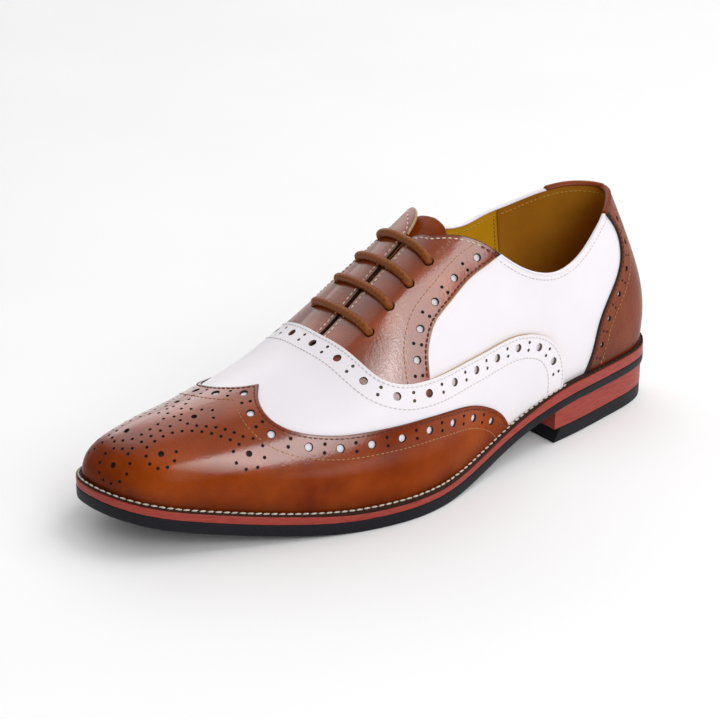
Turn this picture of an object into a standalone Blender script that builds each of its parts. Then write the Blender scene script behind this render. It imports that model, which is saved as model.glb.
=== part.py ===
# Lace-up dress shoe for the left foot: a stacked sole, a hollow lasted upper, tongue, insole and lace bars.
# +X runs to the toe, +Y to the outer side of the foot, +Z up; the origin is on the floor under the middle.
import math

import bmesh
import bpy
import numpy as np

MM = 0.001

# Driving sizes in millimetres; x is measured along the shoe from the back of the heel.
LENGTH = 302.0
HEEL_RISE = 17.8          # underside of the outsole over the floor, above the heel
TOE_SPRING = 16.0         # underside of the outsole over the floor, at the tip
SEAT_END = 62.0           # the level heel seat ends here and the arch starts down
TREAD_START = 165.0       # the flat tread under the ball of the foot
TREAD_END = 205.0
SPRING_POWER = 1.57
BREAST = 81.0             # front face of the heel

FIT_GAP = 0.3             # clearance between pieces that touch
OUTSOLE_THICK = 4.7
MIDSOLE_THICK = 4.8
WELT_THICK = 1.3
LIFT_THICK = 6.9
INSOLE_THICK = 2.5
WALL = 2.0                # leather and lining of the upper
TONGUE_THICK = 2.0

WELT_INSET = 0.3
LIFT_INSET = 1.5
BLOCK_INSET = 0.9
INSOLE_PLAY = 0.6         # insole edge to the inside of the upper

UPPER_BACK = 2.0          # foot of the upper at the heel seam
UPPER_TIP = 298.5         # foot of the upper at the toe
THROAT_TOP = 140.0        # the lacing slit runs from here
THROAT_END = 188.5        # to here, at the vamp
CORNER_STEP = 1.2         # the collar's front corner turns into the slit over this length
CLOSING_STEP = 1.5        # and the slit closes over this length
SLIT_TOP_HALF = 1.6
SLIT_END_HALF = 0.8
TUCK_HEIGHT = 22.0        # the wall curls in to the welt below this height
LEAN_REACH = 125.0        # the back of the heel leans forward, fading out this far along

TONGUE_BODY = 137.0       # behind this the tongue rounds off to its free end
TONGUE_END = 203.0
TONGUE_PLAY = 1.0
TONGUE_STATIONS = 15
TONGUE_COLUMNS = 11

LACE_RADIUS = 1.7
LACE_PLAY = 0.4
LACE_POINTS = 15
LACE_BEVEL = 2

STATIONS = 58             # sections along the shoe
ROWS = 12                 # rows from welt to ridge on each side
STATION_GAP = 1.5         # no section closer than this to a corner of the throat
OUTLINE_POINTS = 401      # fine points along each side when the outline is moved inwards
NEAR_CROWN = 0.9995       # a wall cut at a height stops just short of the crown
PROBE = 0.01              # step for measuring the slope of the last
MERGE = 1e-5              # metres
SHARP_DEG = 40.0

# Outline of the outsole: x, half width on the outer side, half width on the inner side.
OUTLINE = (
    (0.0, 0.0, 0.0),
    (12.0, 20.8, -21.0),
    (40.0, 29.6, -31.0),
    (75.0, 35.8, -33.0),
    (110.0, 40.2, -30.5),
    (145.0, 49.8, -32.0),
    (175.0, 56.2, -40.0),
    (205.0, 52.2, -49.5),
    (235.0, 41.5, -51.0),
    (262.0, 29.8, -46.5),
    (285.0, 18.3, -38.0),
    (302.0, -16.0, -16.0),
)

# Welt margin outside the upper: x, margin.
MARGIN = ((0.0, 1.8), (60.0, 1.8), (120.0, 2.0), (170.0, 3.0), (302.0, 3.5))

# Sections of the last: x, ridge y, crown z, fullness outer and inner, tuck outer and inner.
# Behind the throat the crown is the cone that the walls would close to above the open collar.
LAST = (
    (2.0, 0.0, 125.0, 2.2, 2.2, 0.0, 0.0),
    (40.0, 0.0, 132.0, 2.2, 2.2, 1.0, 1.0),
    (75.0, 0.0, 140.0, 2.2, 2.2, 1.0, 2.0),
    (100.0, 1.0, 132.0, 2.2, 2.35, 1.0, 4.0),
    (117.0, 1.0, 121.5, 2.2, 2.5, 1.0, 6.0),
    (128.0, 1.0, 114.5, 2.2, 2.7, 1.0, 8.0),
    (140.0, 1.0, 107.0, 2.25, 2.8, 1.0, 9.0),
    (155.0, 1.0, 96.5, 2.3, 2.85, 1.0, 9.0),
    (167.0, 1.0, 87.7, 2.3, 2.85, 1.0, 8.5),
    (178.0, 1.0, 79.2, 2.3, 2.85, 1.0, 7.5),
    (189.0, 1.5, 72.0, 2.3, 2.8, 1.0, 6.5),
    (204.0, 2.0, 64.5, 2.3, 2.75, 1.0, 5.0),
    (222.0, 2.0, 58.5, 2.3, 2.55, 1.0, 3.0),
    (240.0, -1.0, 54.0, 2.3, 2.35, 1.0, 1.5),
    (258.0, -6.0, 50.2, 2.3, 2.25, 0.5, 0.5),
    (274.0, -10.0, 47.2, 2.35, 2.25, 0.0, 0.0),
    (287.0, -13.0, 42.2, 2.4, 2.35, 0.0, 0.0),
    (294.5, -15.0, 36.5, 2.4, 2.4, 0.0, 0.0),
)
TIP_Y = -16.0

# Forward lean of the heel's back: height over the welt, lean.
LEAN = ((0.0, 0.0), (15.0, -1.0), (30.0, 1.0), (50.0, 7.5), (70.0, 16.0), (90.0, 25.0))

# Topline of the collar: x, height of the edge on the outer and inner side.
TOPLINE = (
    (2.0, 102.8, 102.8),
    (31.0, 99.7, 99.4),
    (53.0, 91.0, 96.2),
    (71.0, 85.0, 93.4),
    (79.0, 84.4, 92.0),
    (87.0, 85.4, 91.5),
    (103.0, 92.2, 94.6),
    (119.0, 101.8, 102.4),
    (130.0, 105.6, 105.9),
    (140.0, 106.4, 106.4),
)

# Tongue: x, half width.
TONGUE = ((127.0, 7.0), (129.0, 12.5), (133.0, 16.5), (140.0, 18.5), (170.0, 20.0), (203.0, 18.0))

# Lace bars from the vamp up: x of the eyelet pair, half span between the eyelets.
LACES = ((178.6, 20.0), (166.8, 19.0), (155.6, 18.5), (144.2, 17.5))

# Finish of each piece: red, green, blue, roughness.
FINISHES = {
    "outsole": (0.018, 0.018, 0.024, 0.55),
    "midsole": (0.36, 0.06, 0.045, 0.5),
    "welt": (0.05, 0.025, 0.015, 0.55),
    "heel_block": (0.36, 0.06, 0.045, 0.5),
    "heel_lift": (0.018, 0.018, 0.024, 0.6),
    "upper": (0.85, 0.82, 0.86, 0.4),
    "tongue": (0.2, 0.06, 0.018, 0.4),
    "insole": (0.35, 0.2, 0.04, 0.6),
    "lace": (0.16, 0.06, 0.02, 0.55),
}


def clear_scene():
    for old in list(bpy.data.objects):
        bpy.data.objects.remove(old, do_unlink=True)


def spline(xs, ys):
    # Natural cubic curve through a short table.
    xs = np.asarray(xs, float)
    ys = np.asarray(ys, float)
    step = np.diff(xs)
    count = len(xs)
    matrix = np.eye(count)
    right = np.zeros(count)
    for i in range(1, count - 1):
        matrix[i, i - 1] = step[i - 1]
        matrix[i, i] = 2 * (step[i - 1] + step[i])
        matrix[i, i + 1] = step[i]
        right[i] = 6 * ((ys[i + 1] - ys[i]) / step[i] - (ys[i] - ys[i - 1]) / step[i - 1])
    bend = np.linalg.solve(matrix, right)

    def value(x):
        x = np.asarray(x, float)
        i = np.clip(np.searchsorted(xs, x) - 1, 0, count - 2)
        h = step[i]
        a = (xs[i + 1] - x) / h
        b = (x - xs[i]) / h
        curve = ((a ** 3 - a) * bend[i] + (b ** 3 - b) * bend[i + 1]) * h * h / 6
        return a * ys[i] + b * ys[i + 1] + curve

    return value


def column(table, index):
    return np.array([row[index] for row in table])


def smooth_step(u):
    u = np.clip(u, 0.0, 1.0)
    return u * u * (3 - 2 * u)


def angle_along(x, start, end):
    # Even steps of this angle crowd the sections together at heel and toe, where the outline is round.
    return np.arccos(np.clip(1 - 2 * (np.asarray(x, float) - start) / (end - start), -1, 1))


def place_along(angle, start, end):
    return start + (end - start) / 2 * (1 - np.cos(angle))


def sole_height(x):
    x = np.asarray(x, float)
    arch = HEEL_RISE * (1 - smooth_step((x - SEAT_END) / (TREAD_START - SEAT_END)))
    reach = np.clip((x - TREAD_END) / (LENGTH - TREAD_END), 0, None)
    return arch + TOE_SPRING * reach ** SPRING_POWER


outline_angle = angle_along(column(OUTLINE, 0), 0, LENGTH)
outline_half = {1: spline(outline_angle, column(OUTLINE, 1)), -1: spline(outline_angle, column(OUTLINE, 2))}


def inset_edge(side, margin):
    # Outline moved inwards by a margin along its own normal: x and y of a fine row of points.
    angle = np.linspace(0, math.pi, OUTLINE_POINTS)
    points = np.stack([place_along(angle, 0, LENGTH), outline_half[side](angle)], 1)
    along = np.gradient(points, axis=0)
    along /= np.linalg.norm(along, axis=1)[:, None]
    inward = side * np.stack([along[:, 1], -along[:, 0]], 1)
    return points + inward * np.asarray(margin(points[:, 0]))[:, None]


def edge_half(side, margin, start, end):
    # Half width of the inset outline, as a function of x between its own ends.
    edge = inset_edge(side, margin)
    known = angle_along(edge[:, 0], edge[0, 0], edge[-1, 0])
    return lambda x: np.interp(angle_along(x, start, end), known, edge[:, 1])


def welt_margin(x):
    return np.interp(x, column(MARGIN, 0), column(MARGIN, 1))


MIDSOLE_LOW = OUTSOLE_THICK + FIT_GAP
WELT_LOW = MIDSOLE_LOW + MIDSOLE_THICK + FIT_GAP
FOOT_LOW = WELT_LOW + WELT_THICK + FIT_GAP     # the upper and the insole stand here over the sole line

outer_extreme = max(outline_half[1](np.linspace(0, math.pi, OUTLINE_POINTS)))
inner_extreme = min(outline_half[-1](np.linspace(0, math.pi, OUTLINE_POINTS)))
CENTRE = np.array([LENGTH / 2, (outer_extreme + inner_extreme) / 2, 0.0])

last_angle = angle_along(column(LAST, 0), UPPER_BACK, UPPER_TIP)
last_rise = column(LAST, 2) - sole_height(column(LAST, 0)) - FOOT_LOW
crown_rise = spline(np.append(last_angle, math.pi), np.append(last_rise, 0.0))
fullness_curve = {side: spline(last_angle, column(LAST, 3 if side > 0 else 4)) for side in (1, -1)}
tuck_curve = {side: spline(last_angle, column(LAST, 5 if side > 0 else 6)) for side in (1, -1)}
ridge_y = spline(np.append(last_angle, math.pi), np.append(column(LAST, 1), TIP_Y))
foot_half = {side: edge_half(side, welt_margin, UPPER_BACK, UPPER_TIP) for side in (1, -1)}
back_lean = spline(column(LEAN, 0), column(LEAN, 1))
topline = {side: spline(column(TOPLINE, 0), column(TOPLINE, 1 if side > 0 else 2)) for side in (1, -1)}


def fullness(x, side):
    return fullness_curve[side](angle_along(x, UPPER_BACK, UPPER_TIP))


def tuck(x, side):
    return np.maximum(tuck_curve[side](angle_along(x, UPPER_BACK, UPPER_TIP)), 0.0)


def half_width(x, side):
    return side * (foot_half[side](x) - ridge_y(angle_along(x, UPPER_BACK, UPPER_TIP))) + tuck(x, side)


def last_point(x, turn, side):
    # A point of the last: turn is 0 at the welt and a quarter turn at the ridge over the foot.
    angle = angle_along(x, UPPER_BACK, UPPER_TIP)
    power = fullness(x, side)
    c, s = math.cos(turn), math.sin(turn)
    reach = (abs(c) ** power + abs(s) ** power) ** (-1 / power)
    rise = crown_rise(angle) * s * reach
    curl = tuck(x, side) * max(1 - rise / TUCK_HEIGHT, 0.0) ** 2
    y = ridge_y(angle) + side * (half_width(x, side) * c * reach - curl)
    lean = (1 - smooth_step(x / LEAN_REACH)) * back_lean(rise)
    return np.array([x + lean, y, sole_height(x) + FOOT_LOW + rise])


def turn_at_height(x, z, side):
    power = fullness(x, side)
    share = (z - sole_height(x) - FOOT_LOW) / crown_rise(angle_along(x, UPPER_BACK, UPPER_TIP))
    t = min(share, NEAR_CROWN)
    return math.atan2(t, (1 - t ** power) ** (1 / power))


def turn_at_offset(x, offset, side):
    # Where the section lies this far sideways from the ridge.
    power = fullness(x, side)
    q = offset / half_width(x, side)
    return math.atan2((1 - q ** power) ** (1 / power), q)


def skin_point(x, offset, depth):
    # A point over the instep, this far sideways from the ridge, sunk below the last's surface by a depth.
    side = 1 if offset >= 0 else -1
    turn = turn_at_offset(x, abs(offset), side)
    here = last_point(x, turn, side)
    along = last_point(x + PROBE, turn, side) - last_point(x - PROBE, turn, side)
    across = last_point(x, turn, side) - last_point(x, turn - PROBE, side)
    normal = np.cross(along, across) * side
    normal /= np.linalg.norm(normal)
    return here + normal * (depth if normal[2] < 0 else -depth)


def material(name):
    red, green, blue, rough = FINISHES[name]
    made = bpy.data.materials.new(name)
    made.use_nodes = True
    shader = made.node_tree.nodes["Principled BSDF"]
    shader.inputs["Base Color"].default_value = (red, green, blue, 1.0)
    shader.inputs["Roughness"].default_value = rough
    shader.inputs["Metallic"].default_value = 0.0
    return made


def to_world(point):
    return tuple((np.asarray(point) - CENTRE) * MM)


def add_mesh(name, points, faces, collection, finish):
    mesh = bpy.data.meshes.new(name)
    mesh.from_pydata([to_world(p) for p in points], [], faces)
    shape = bmesh.new()
    shape.from_mesh(mesh)
    bmesh.ops.remove_doubles(shape, verts=shape.verts, dist=MERGE)
    shape.to_mesh(mesh)
    shape.free()
    mesh.materials.append(material(finish))
    mesh.shade_smooth()
    mesh.set_sharp_from_angle(angle=math.radians(SHARP_DEG))
    made = bpy.data.objects.new(name, mesh)
    collection.objects.link(made)
    return made


def layer(name, low, high, margin, collection, front=None):
    # A layer of the sole: its outline at each section, a lower face, an upper face and an edge.
    start = inset_edge(1, margin)[0, 0]
    end = inset_edge(1, margin)[-1, 0]
    outer = edge_half(1, margin, start, end)
    inner = edge_half(-1, margin, start, end)
    xs = place_along(np.linspace(0, math.pi, STATIONS), start, end)
    if front is not None:
        xs = np.append(xs[xs < front - 1], front)
    ring = [(x, outer(x)) for x in xs] + [(x, inner(x)) for x in xs[::-1]]
    points = [(x, y, low(x)) for x, y in ring] + [(x, y, high(x)) for x, y in ring]
    count = len(ring)
    faces = []
    for i in range(len(xs) - 1):
        j = count - 1 - i
        faces.append((i, i + 1, j - 1, j))
        faces.append((count + j, count + j - 1, count + i + 1, count + i))
    for i in range(count):
        j = (i + 1) % count
        faces.append((j, i, count + i, count + j))
    return add_mesh(name, points, faces, collection, name)


def grid_faces(columns, rows, flip):
    faces = []
    for i in range(columns - 1):
        for j in range(rows - 1):
            a = i * rows + j
            face = (a, a + rows, a + rows + 1, a + 1)
            faces.append(face[::-1] if flip else face)
    return faces


def thicken(shell, thick):
    wall = shell.modifiers.new("wall", "SOLIDIFY")
    wall.thickness = thick * MM
    wall.offset = -1.0
    wall.use_even_offset = True
    wall.use_rim = True


def top_turn(x, side):
    # The upper stops at the collar's topline, then at the lacing slit, and closes over the vamp.
    if x <= THROAT_TOP:
        return turn_at_height(x, topline[side](x), side)
    if x <= THROAT_END:
        half = np.interp(x, (THROAT_TOP, THROAT_END), (SLIT_TOP_HALF, SLIT_END_HALF))
        return turn_at_offset(x, half, side)
    return math.pi / 2


def upper(collection):
    even = place_along(np.linspace(0, math.pi, STATIONS), UPPER_BACK, UPPER_TIP)
    marks = (THROAT_TOP, THROAT_TOP + CORNER_STEP, THROAT_END, THROAT_END + CLOSING_STEP)
    apart = [x for x in even if min(abs(x - mark) for mark in marks) > STATION_GAP]
    xs = np.sort(np.concatenate([apart, marks]))
    points = []
    faces = []
    for side in (1, -1):
        first = len(points)
        for x in xs[:-1]:
            end = top_turn(x, side)
            points += [last_point(x, end * row / ROWS, side) for row in range(ROWS + 1)]
        points += [last_point(UPPER_TIP, 0.0, side)] * (ROWS + 1)
        for face in grid_faces(len(xs), ROWS + 1, side > 0):
            faces.append(tuple(first + corner for corner in face))
    shell = add_mesh("upper", points, faces, collection, "upper")
    thicken(shell, WALL)
    return shell


def tongue(collection):
    xs = np.concatenate([column(TONGUE[:3], 0), np.linspace(TONGUE_BODY, TONGUE_END, TONGUE_STATIONS)])
    across = np.linspace(-1, 1, TONGUE_COLUMNS)
    points = []
    for x in xs:
        half = np.interp(x, column(TONGUE, 0), column(TONGUE, 1))
        points += [skin_point(x, half * step, WALL + TONGUE_PLAY) for step in across]
    shell = add_mesh("tongue", points, grid_faces(len(xs), len(across), False), collection, "tongue")
    thicken(shell, TONGUE_THICK)
    return shell


def lace_bar(name, x, half_span, collection):
    curve = bpy.data.curves.new(name, "CURVE")
    curve.dimensions = "3D"
    curve.bevel_depth = LACE_RADIUS * MM
    curve.bevel_resolution = LACE_BEVEL
    curve.use_fill_caps = True
    line = curve.splines.new("POLY")
    line.points.add(LACE_POINTS - 1)
    lift = LACE_RADIUS + LACE_PLAY
    for point, offset in zip(line.points, np.linspace(-half_span, half_span, LACE_POINTS)):
        point.co = (*to_world(skin_point(x, offset, -lift)), 1.0)
    curve.materials.append(material("lace"))
    made = bpy.data.objects.new(name, curve)
    collection.objects.link(made)
    return made


def build():
    clear_scene()
    shoe = bpy.data.collections.new("lace_up_shoe")
    bpy.context.scene.collection.children.link(shoe)
    layer("heel_lift", lambda x: 0.0, lambda x: LIFT_THICK, lambda x: LIFT_INSET + 0 * x, shoe, BREAST)
    layer(
        "heel_block",
        lambda x: LIFT_THICK + FIT_GAP,
        lambda x: sole_height(x) - FIT_GAP,
        lambda x: BLOCK_INSET + 0 * x,
        shoe,
        BREAST,
    )
    layer("outsole", sole_height, lambda x: sole_height(x) + OUTSOLE_THICK, lambda x: 0 * x, shoe)
    layer(
        "midsole",
        lambda x: sole_height(x) + MIDSOLE_LOW,
        lambda x: sole_height(x) + MIDSOLE_LOW + MIDSOLE_THICK,
        lambda x: 0 * x,
        shoe,
    )
    layer(
        "welt",
        lambda x: sole_height(x) + WELT_LOW,
        lambda x: sole_height(x) + WELT_LOW + WELT_THICK,
        lambda x: WELT_INSET + 0 * x,
        shoe,
    )
    layer(
        "insole",
        lambda x: sole_height(x) + FOOT_LOW,
        lambda x: sole_height(x) + FOOT_LOW + INSOLE_THICK,
        lambda x: welt_margin(x) + WALL + INSOLE_PLAY,
        shoe,
    )
    upper(shoe)
    tongue(shoe)
    for number, (x, half_span) in enumerate(LACES, 1):
        lace_bar(f"lace_bar_{number}", x, half_span, shoe)


build()
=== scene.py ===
import math

import bmesh
import bpy
import numpy as np
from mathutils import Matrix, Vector, kdtree
from mathutils.geometry import delaunay_2d_cdt


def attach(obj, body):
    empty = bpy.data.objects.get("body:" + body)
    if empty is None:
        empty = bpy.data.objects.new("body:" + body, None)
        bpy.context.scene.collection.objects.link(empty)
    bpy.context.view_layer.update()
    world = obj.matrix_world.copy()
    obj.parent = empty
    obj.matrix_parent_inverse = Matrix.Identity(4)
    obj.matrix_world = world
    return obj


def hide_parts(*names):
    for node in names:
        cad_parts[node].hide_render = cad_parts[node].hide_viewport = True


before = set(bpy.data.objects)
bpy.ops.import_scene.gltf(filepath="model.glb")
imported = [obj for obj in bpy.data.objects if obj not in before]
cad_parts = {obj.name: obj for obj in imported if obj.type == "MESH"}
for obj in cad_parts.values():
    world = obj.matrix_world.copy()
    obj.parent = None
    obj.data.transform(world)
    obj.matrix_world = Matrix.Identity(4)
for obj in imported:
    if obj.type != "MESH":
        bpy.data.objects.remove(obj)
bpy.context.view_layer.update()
mm = 0.001
print("frame loaded:", len(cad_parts), "nodes")

# The last and the sole, in millimetres, x from the back of the heel, +y to the outer side
shoe = {
    "length": 302.0,
    "heelRise": 17.8,
    "toeSpring": 16.0,
    "springPower": 1.57,
    "seatEnd": 62.0,
    "treadStart": 165.0,
    "treadEnd": 205.0,
    "breast": 81.0,
    "upperBack": 2.0,
    "upperTip": 298.5,
    "footLow": 11.7,
    "tuckHeight": 22.0,
    "settle": 1.4,  # the foot of the upper is pulled down to a thin welt
    "settleHeight": 32.0,
    "leanReach": 125.0,
    "tipY": -16.0,
    # x, outer half width, inner half width
    "outline": [
        (0, 0, 0), (12, 20.2, -20.4), (40, 28.7, -30.1), (75, 35.3, -32.5),
        (110, 40.2, -30.5), (145, 49.8, -32), (175, 56.2, -40), (205, 52.2, -49.5),
        (235, 41.5, -51), (262, 29.8, -46.5), (285, 18.3, -38), (302, -16, -16),
    ],
    # x, welt margin
    "margin": [(0, 1.7), (14, 1.1), (40, 0.9), (70, 0.9), (120, 1.9), (170, 3.0), (302, 3.5)],
    # x, ridge y, crown z, fullness outer and inner, tuck outer and inner
    "last": [
        (2, 0, 125, 2.2, 2.2, 0, 0),
        (40, 0, 132, 2.2, 2.2, 1, 1),
        (75, 0, 140, 2.2, 2.2, 1, 2),
        (100, 1, 132, 2.2, 2.35, 1, 4),
        (117, 1, 121.5, 2.2, 2.5, 1, 6),
        (128, 1, 114.5, 2.2, 2.7, 1, 8),
        (140, 1, 107, 2.25, 2.8, 1, 9),
        (155, 1, 96.5, 2.3, 2.85, 1, 9),
        (167, 1, 87.7, 2.3, 2.85, 1, 8.5),
        (178, 1, 79.2, 2.3, 2.85, 1, 7.5),
        (189, 1.5, 72, 2.3, 2.8, 1, 6.5),
        (204, 2, 64.5, 2.3, 2.75, 1, 5),
        (222, 2, 58.5, 2.3, 2.55, 1, 3),
        (240, -1, 54, 2.3, 2.35, 1, 1.5),
        (258, -6, 50.2, 2.3, 2.25, 0.5, 0.5),
        (274, -10, 47.2, 2.35, 2.25, 0, 0),
        (287, -13, 42.2, 2.4, 2.35, 0, 0),
        (294.5, -15, 36.5, 2.4, 2.4, 0, 0),
    ],
    # height over the welt, forward lean of the heel's back
    "lean": [(0, 0), (15, -1), (30, 1.5), (50, 9), (70, 17.6), (90, 26.6)],
    "collarFlare": 3.0,  # the outer wall opens a little behind the ankle
    "flareX": (4, 30, 72, 108),  # grows over the first two x, fades over the last two
    "flareRise": (30, 75),
    "innerDrop": 3.2,  # the inner shoulder of the toe slopes lower than the outer one
    "dropX": (178, 212, 276, 298),
    # x, height of the collar's edge on the outer and inner side
    "topline": [
        (2, 106, 106.4), (12, 103.6, 106.6), (31, 97, 103.8), (53, 87.8, 98.8),
        (71, 83.8, 95.4), (79, 83.8, 93.4), (87, 85.4, 92.6), (103, 93.2, 95.6),
        (119, 105, 103.2), (128, 108.4, 106.4), (134, 108.4, 107.2), (140, 107, 106.8),
    ],
}


def column(rows, index):
    return np.array([row[index] for row in rows], float)


def smoothStep(u):
    u = np.clip(u, 0.0, 1.0)
    return u * u * (3 - 2 * u)


def ramp(x, start, end):  # 0 before start, 1 past end
    return smoothStep((np.asarray(x, float) - start) / (end - start))


def window(x, start, full, wane, end):
    return ramp(x, start, full) * (1 - ramp(x, wane, end))


def natural(xs, ys):  # natural cubic through a few points
    xs, ys = np.asarray(xs, float), np.asarray(ys, float)
    step, count = np.diff(xs), len(xs)
    matrix, right = np.eye(count), np.zeros(count)
    for i in range(1, count - 1):
        matrix[i, i - 1], matrix[i, i], matrix[i, i + 1] = step[i - 1], 2 * (step[i - 1] + step[i]), step[i]
        right[i] = 6 * ((ys[i + 1] - ys[i]) / step[i] - (ys[i] - ys[i - 1]) / step[i - 1])
    bend = np.linalg.solve(matrix, right)

    def value(x):
        x = np.asarray(x, float)
        i = np.clip(np.searchsorted(xs, x) - 1, 0, count - 2)
        h = step[i]
        a, b = (xs[i + 1] - x) / h, (x - xs[i]) / h
        return a * ys[i] + b * ys[i + 1] + ((a ** 3 - a) * bend[i] + (b ** 3 - b) * bend[i + 1]) * h * h / 6

    return value


# Along is an angle that crowds the sections at heel and toe
def alongAt(x, start=shoe["upperBack"], end=shoe["upperTip"]):
    return np.arccos(np.clip(1 - 2 * (np.asarray(x, float) - start) / (end - start), -1, 1))


def xAt(along, start=shoe["upperBack"], end=shoe["upperTip"]):
    return start + (end - start) / 2 * (1 - np.cos(along))


def soleHeight(x):
    x = np.asarray(x, float)
    arch = shoe["heelRise"] * (1 - ramp(x, shoe["seatEnd"], shoe["treadStart"]))
    reach = np.clip((x - shoe["treadEnd"]) / (shoe["length"] - shoe["treadEnd"]), 0, None)
    return arch + shoe["toeSpring"] * reach ** shoe["springPower"]


def perSide(at, rows, outer, inner):  # one curve for each side, from two columns
    return {1: natural(at, column(rows, outer)), -1: natural(at, column(rows, inner))}


sides = (1, -1)  # outer, inner
halfTurn = math.pi / 2
fineAngle = np.linspace(0, math.pi, 401)
outlineHalf = perSide(alongAt(column(shoe["outline"], 0), 0, shoe["length"]), shoe["outline"], 1, 2)


def insetEdge(side, margin):
    points = np.stack([xAt(fineAngle, 0, shoe["length"]), outlineHalf[side](fineAngle)], 1)
    run = np.gradient(points, axis=0)
    run /= np.linalg.norm(run, axis=1)[:, None]
    inward = side * np.stack([run[:, 1], -run[:, 0]], 1)
    return points + inward * np.asarray(margin(points[:, 0]))[:, None]


def edgeHalf(side, margin, start, end):
    edge = insetEdge(side, margin)
    known = alongAt(edge[:, 0], edge[0, 0], edge[-1, 0])
    return lambda x: np.interp(alongAt(x, start, end), known, edge[:, 1])


def weltMargin(x):
    return np.interp(x, column(shoe["margin"], 0), column(shoe["margin"], 1))


middleY = (max(outlineHalf[1](fineAngle)) + min(outlineHalf[-1](fineAngle))) / 2
centre = np.array([shoe["length"] / 2, middleY, 0.0])

lastX = column(shoe["last"], 0)
lastAngle = alongAt(lastX)
lastRise = column(shoe["last"], 2) - soleHeight(lastX) - shoe["footLow"]
crownRise = natural(np.append(lastAngle, math.pi), np.append(lastRise, 0.0))
ridgeY = natural(np.append(lastAngle, math.pi), np.append(column(shoe["last"], 1), shoe["tipY"]))
fullness = perSide(lastAngle, shoe["last"], 3, 4)
tuckIn = perSide(lastAngle, shoe["last"], 5, 6)
footHalf = {side: edgeHalf(side, weltMargin, shoe["upperBack"], shoe["upperTip"]) for side in sides}
backLean = natural(column(shoe["lean"], 0), column(shoe["lean"], 1))
topHeight = perSide(column(shoe["topline"], 0), shoe["topline"], 1, 2)


def wallHalf(along, side):
    tuck = np.maximum(tuckIn[side](along), 0.0)
    return side * (footHalf[side](xAt(along)) - ridgeY(along)) + tuck, tuck


# A spot on the last is (along, turn): along is 0 at the back seam, pi at the toe tip and negative on the
# inner wall; turn is 0 at the outer welt, a quarter turn on the ridge and a half turn at the inner welt
def skin(spots):
    spots = np.asarray(spots, float)
    along, turn = np.abs(spots[..., 0]), spots[..., 1]
    inner = (spots[..., 0] < 0) != (turn > halfTurn)
    turn = np.where(turn > halfTurn, math.pi - turn, turn)
    out = np.zeros(along.shape + (3,))
    for side in sides:
        here = inner == (side < 0)
        a, x = along[here], xAt(along[here])
        c, s, power = np.cos(turn[here]), np.sin(turn[here]), fullness[side](along[here])
        reach = (np.abs(c) ** power + np.abs(s) ** power) ** (-1 / power)
        rise = crownRise(a) * s * reach
        half, tuck = wallHalf(a, side)
        curl = tuck * np.maximum(1 - rise / shoe["tuckHeight"], 0.0) ** 2
        lean = (1 - ramp(x, 0, shoe["leanReach"])) * backLean(rise)
        y = ridgeY(a) + side * (half * c * reach - curl)
        down = shoe["settle"] * (1 - ramp(rise, 0, shoe["settleHeight"]))
        if side > 0:
            y = y + shoe["collarFlare"] * window(x, *shoe["flareX"]) * ramp(rise, *shoe["flareRise"])
        else:
            down = down + shoe["innerDrop"] * window(x, *shoe["dropX"]) * (2 * s * c) ** 2
        out[here] = np.stack([x + lean, y, soleHeight(x) + shoe["footLow"] + rise - down], -1)
    return out


def lie(spots):  # point, outward normal and the two ways along the surface
    spots = np.asarray(spots, float)
    probe = 2e-3
    alongStep, turnStep = np.array([probe, 0.0]), np.array([0.0, probe])
    alongWay = (skin(spots + alongStep) - skin(spots - alongStep)) / (2 * probe)
    turnWay = (skin(spots + turnStep) - skin(spots - turnStep)) / (2 * probe)
    normal = np.cross(turnWay, alongWay)
    normal /= np.linalg.norm(normal, axis=-1, keepdims=True)
    return skin(spots), normal, np.stack([alongWay, turnWay], -1)


def toWorld(points):
    return (np.asarray(points) - centre) * mm


def noLift(spots):
    return np.zeros(spots.shape[:-1] + (3,))


def sit(spots, level, lift=noLift):  # points over the last, level in millimetres along the normal
    point, normal, _ = lie(spots)
    return point + normal * np.asarray(level)[..., None] + lift(spots), normal


def treeOf(points):
    tree = kdtree.KDTree(len(points))
    for i, p in enumerate(points):
        tree.insert(p, i)
    tree.balance()
    return tree


def gapsTo(tree, points):  # distance from each point to the nearest one in the tree
    return np.array([tree.find(p)[2] for p in points])


def stepBy(spots, move, ways):  # the spot that lies a small 3-D move away
    gram = np.einsum("nij,nik->njk", ways, ways)
    return spots + np.linalg.solve(gram, np.einsum("nij,ni->nj", ways, move)[..., None])[..., 0]


def walk(spots, heading, far, steps=5):
    for _ in range(steps):
        _, normal, ways = lie(spots)
        flat = heading - normal * np.sum(heading * normal, -1, keepdims=True)
        heading = flat / np.linalg.norm(flat, axis=-1, keepdims=True)
        spots = stepBy(spots, heading * far / steps, ways)
    return spots


def lengths(spots):
    return np.append(0.0, np.cumsum(np.linalg.norm(np.diff(skin(spots), axis=0), axis=1)))


def evenly(spots, step):  # points at even distances along a line on the last
    spots = np.asarray(spots, float)
    index = np.arange(len(spots))
    fine = np.linspace(0, len(spots) - 1, 6 * len(spots))
    fineSpots = np.stack([np.interp(fine, index, spots[:, k]) for k in (0, 1)], 1)
    run = lengths(fineSpots)
    at = np.linspace(0, run[-1], max(int(round(run[-1] / step)), 1) + 1)
    return np.stack([np.interp(at, run, fineSpots[:, k]) for k in (0, 1)], 1)


def spotsOf(rows):  # x and turn in degrees; x below zero is on the inner wall
    x, turn = column(rows, 0), np.radians(column(rows, 1))
    return np.stack([np.sign(x) * alongAt(np.abs(x)), turn], 1)


def softLine(rows, step=1.2):
    spots = spotsOf(rows)
    run = lengths(spots)
    fine = np.linspace(0, run[-1], 24 * len(rows))
    return evenly(np.stack([natural(run, spots[:, k])(fine) for k in (0, 1)], 1), step)


def across(rows):  # the same line on the inner side
    return [(x, 180 - turn) for x, turn in rows][::-1]


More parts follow.
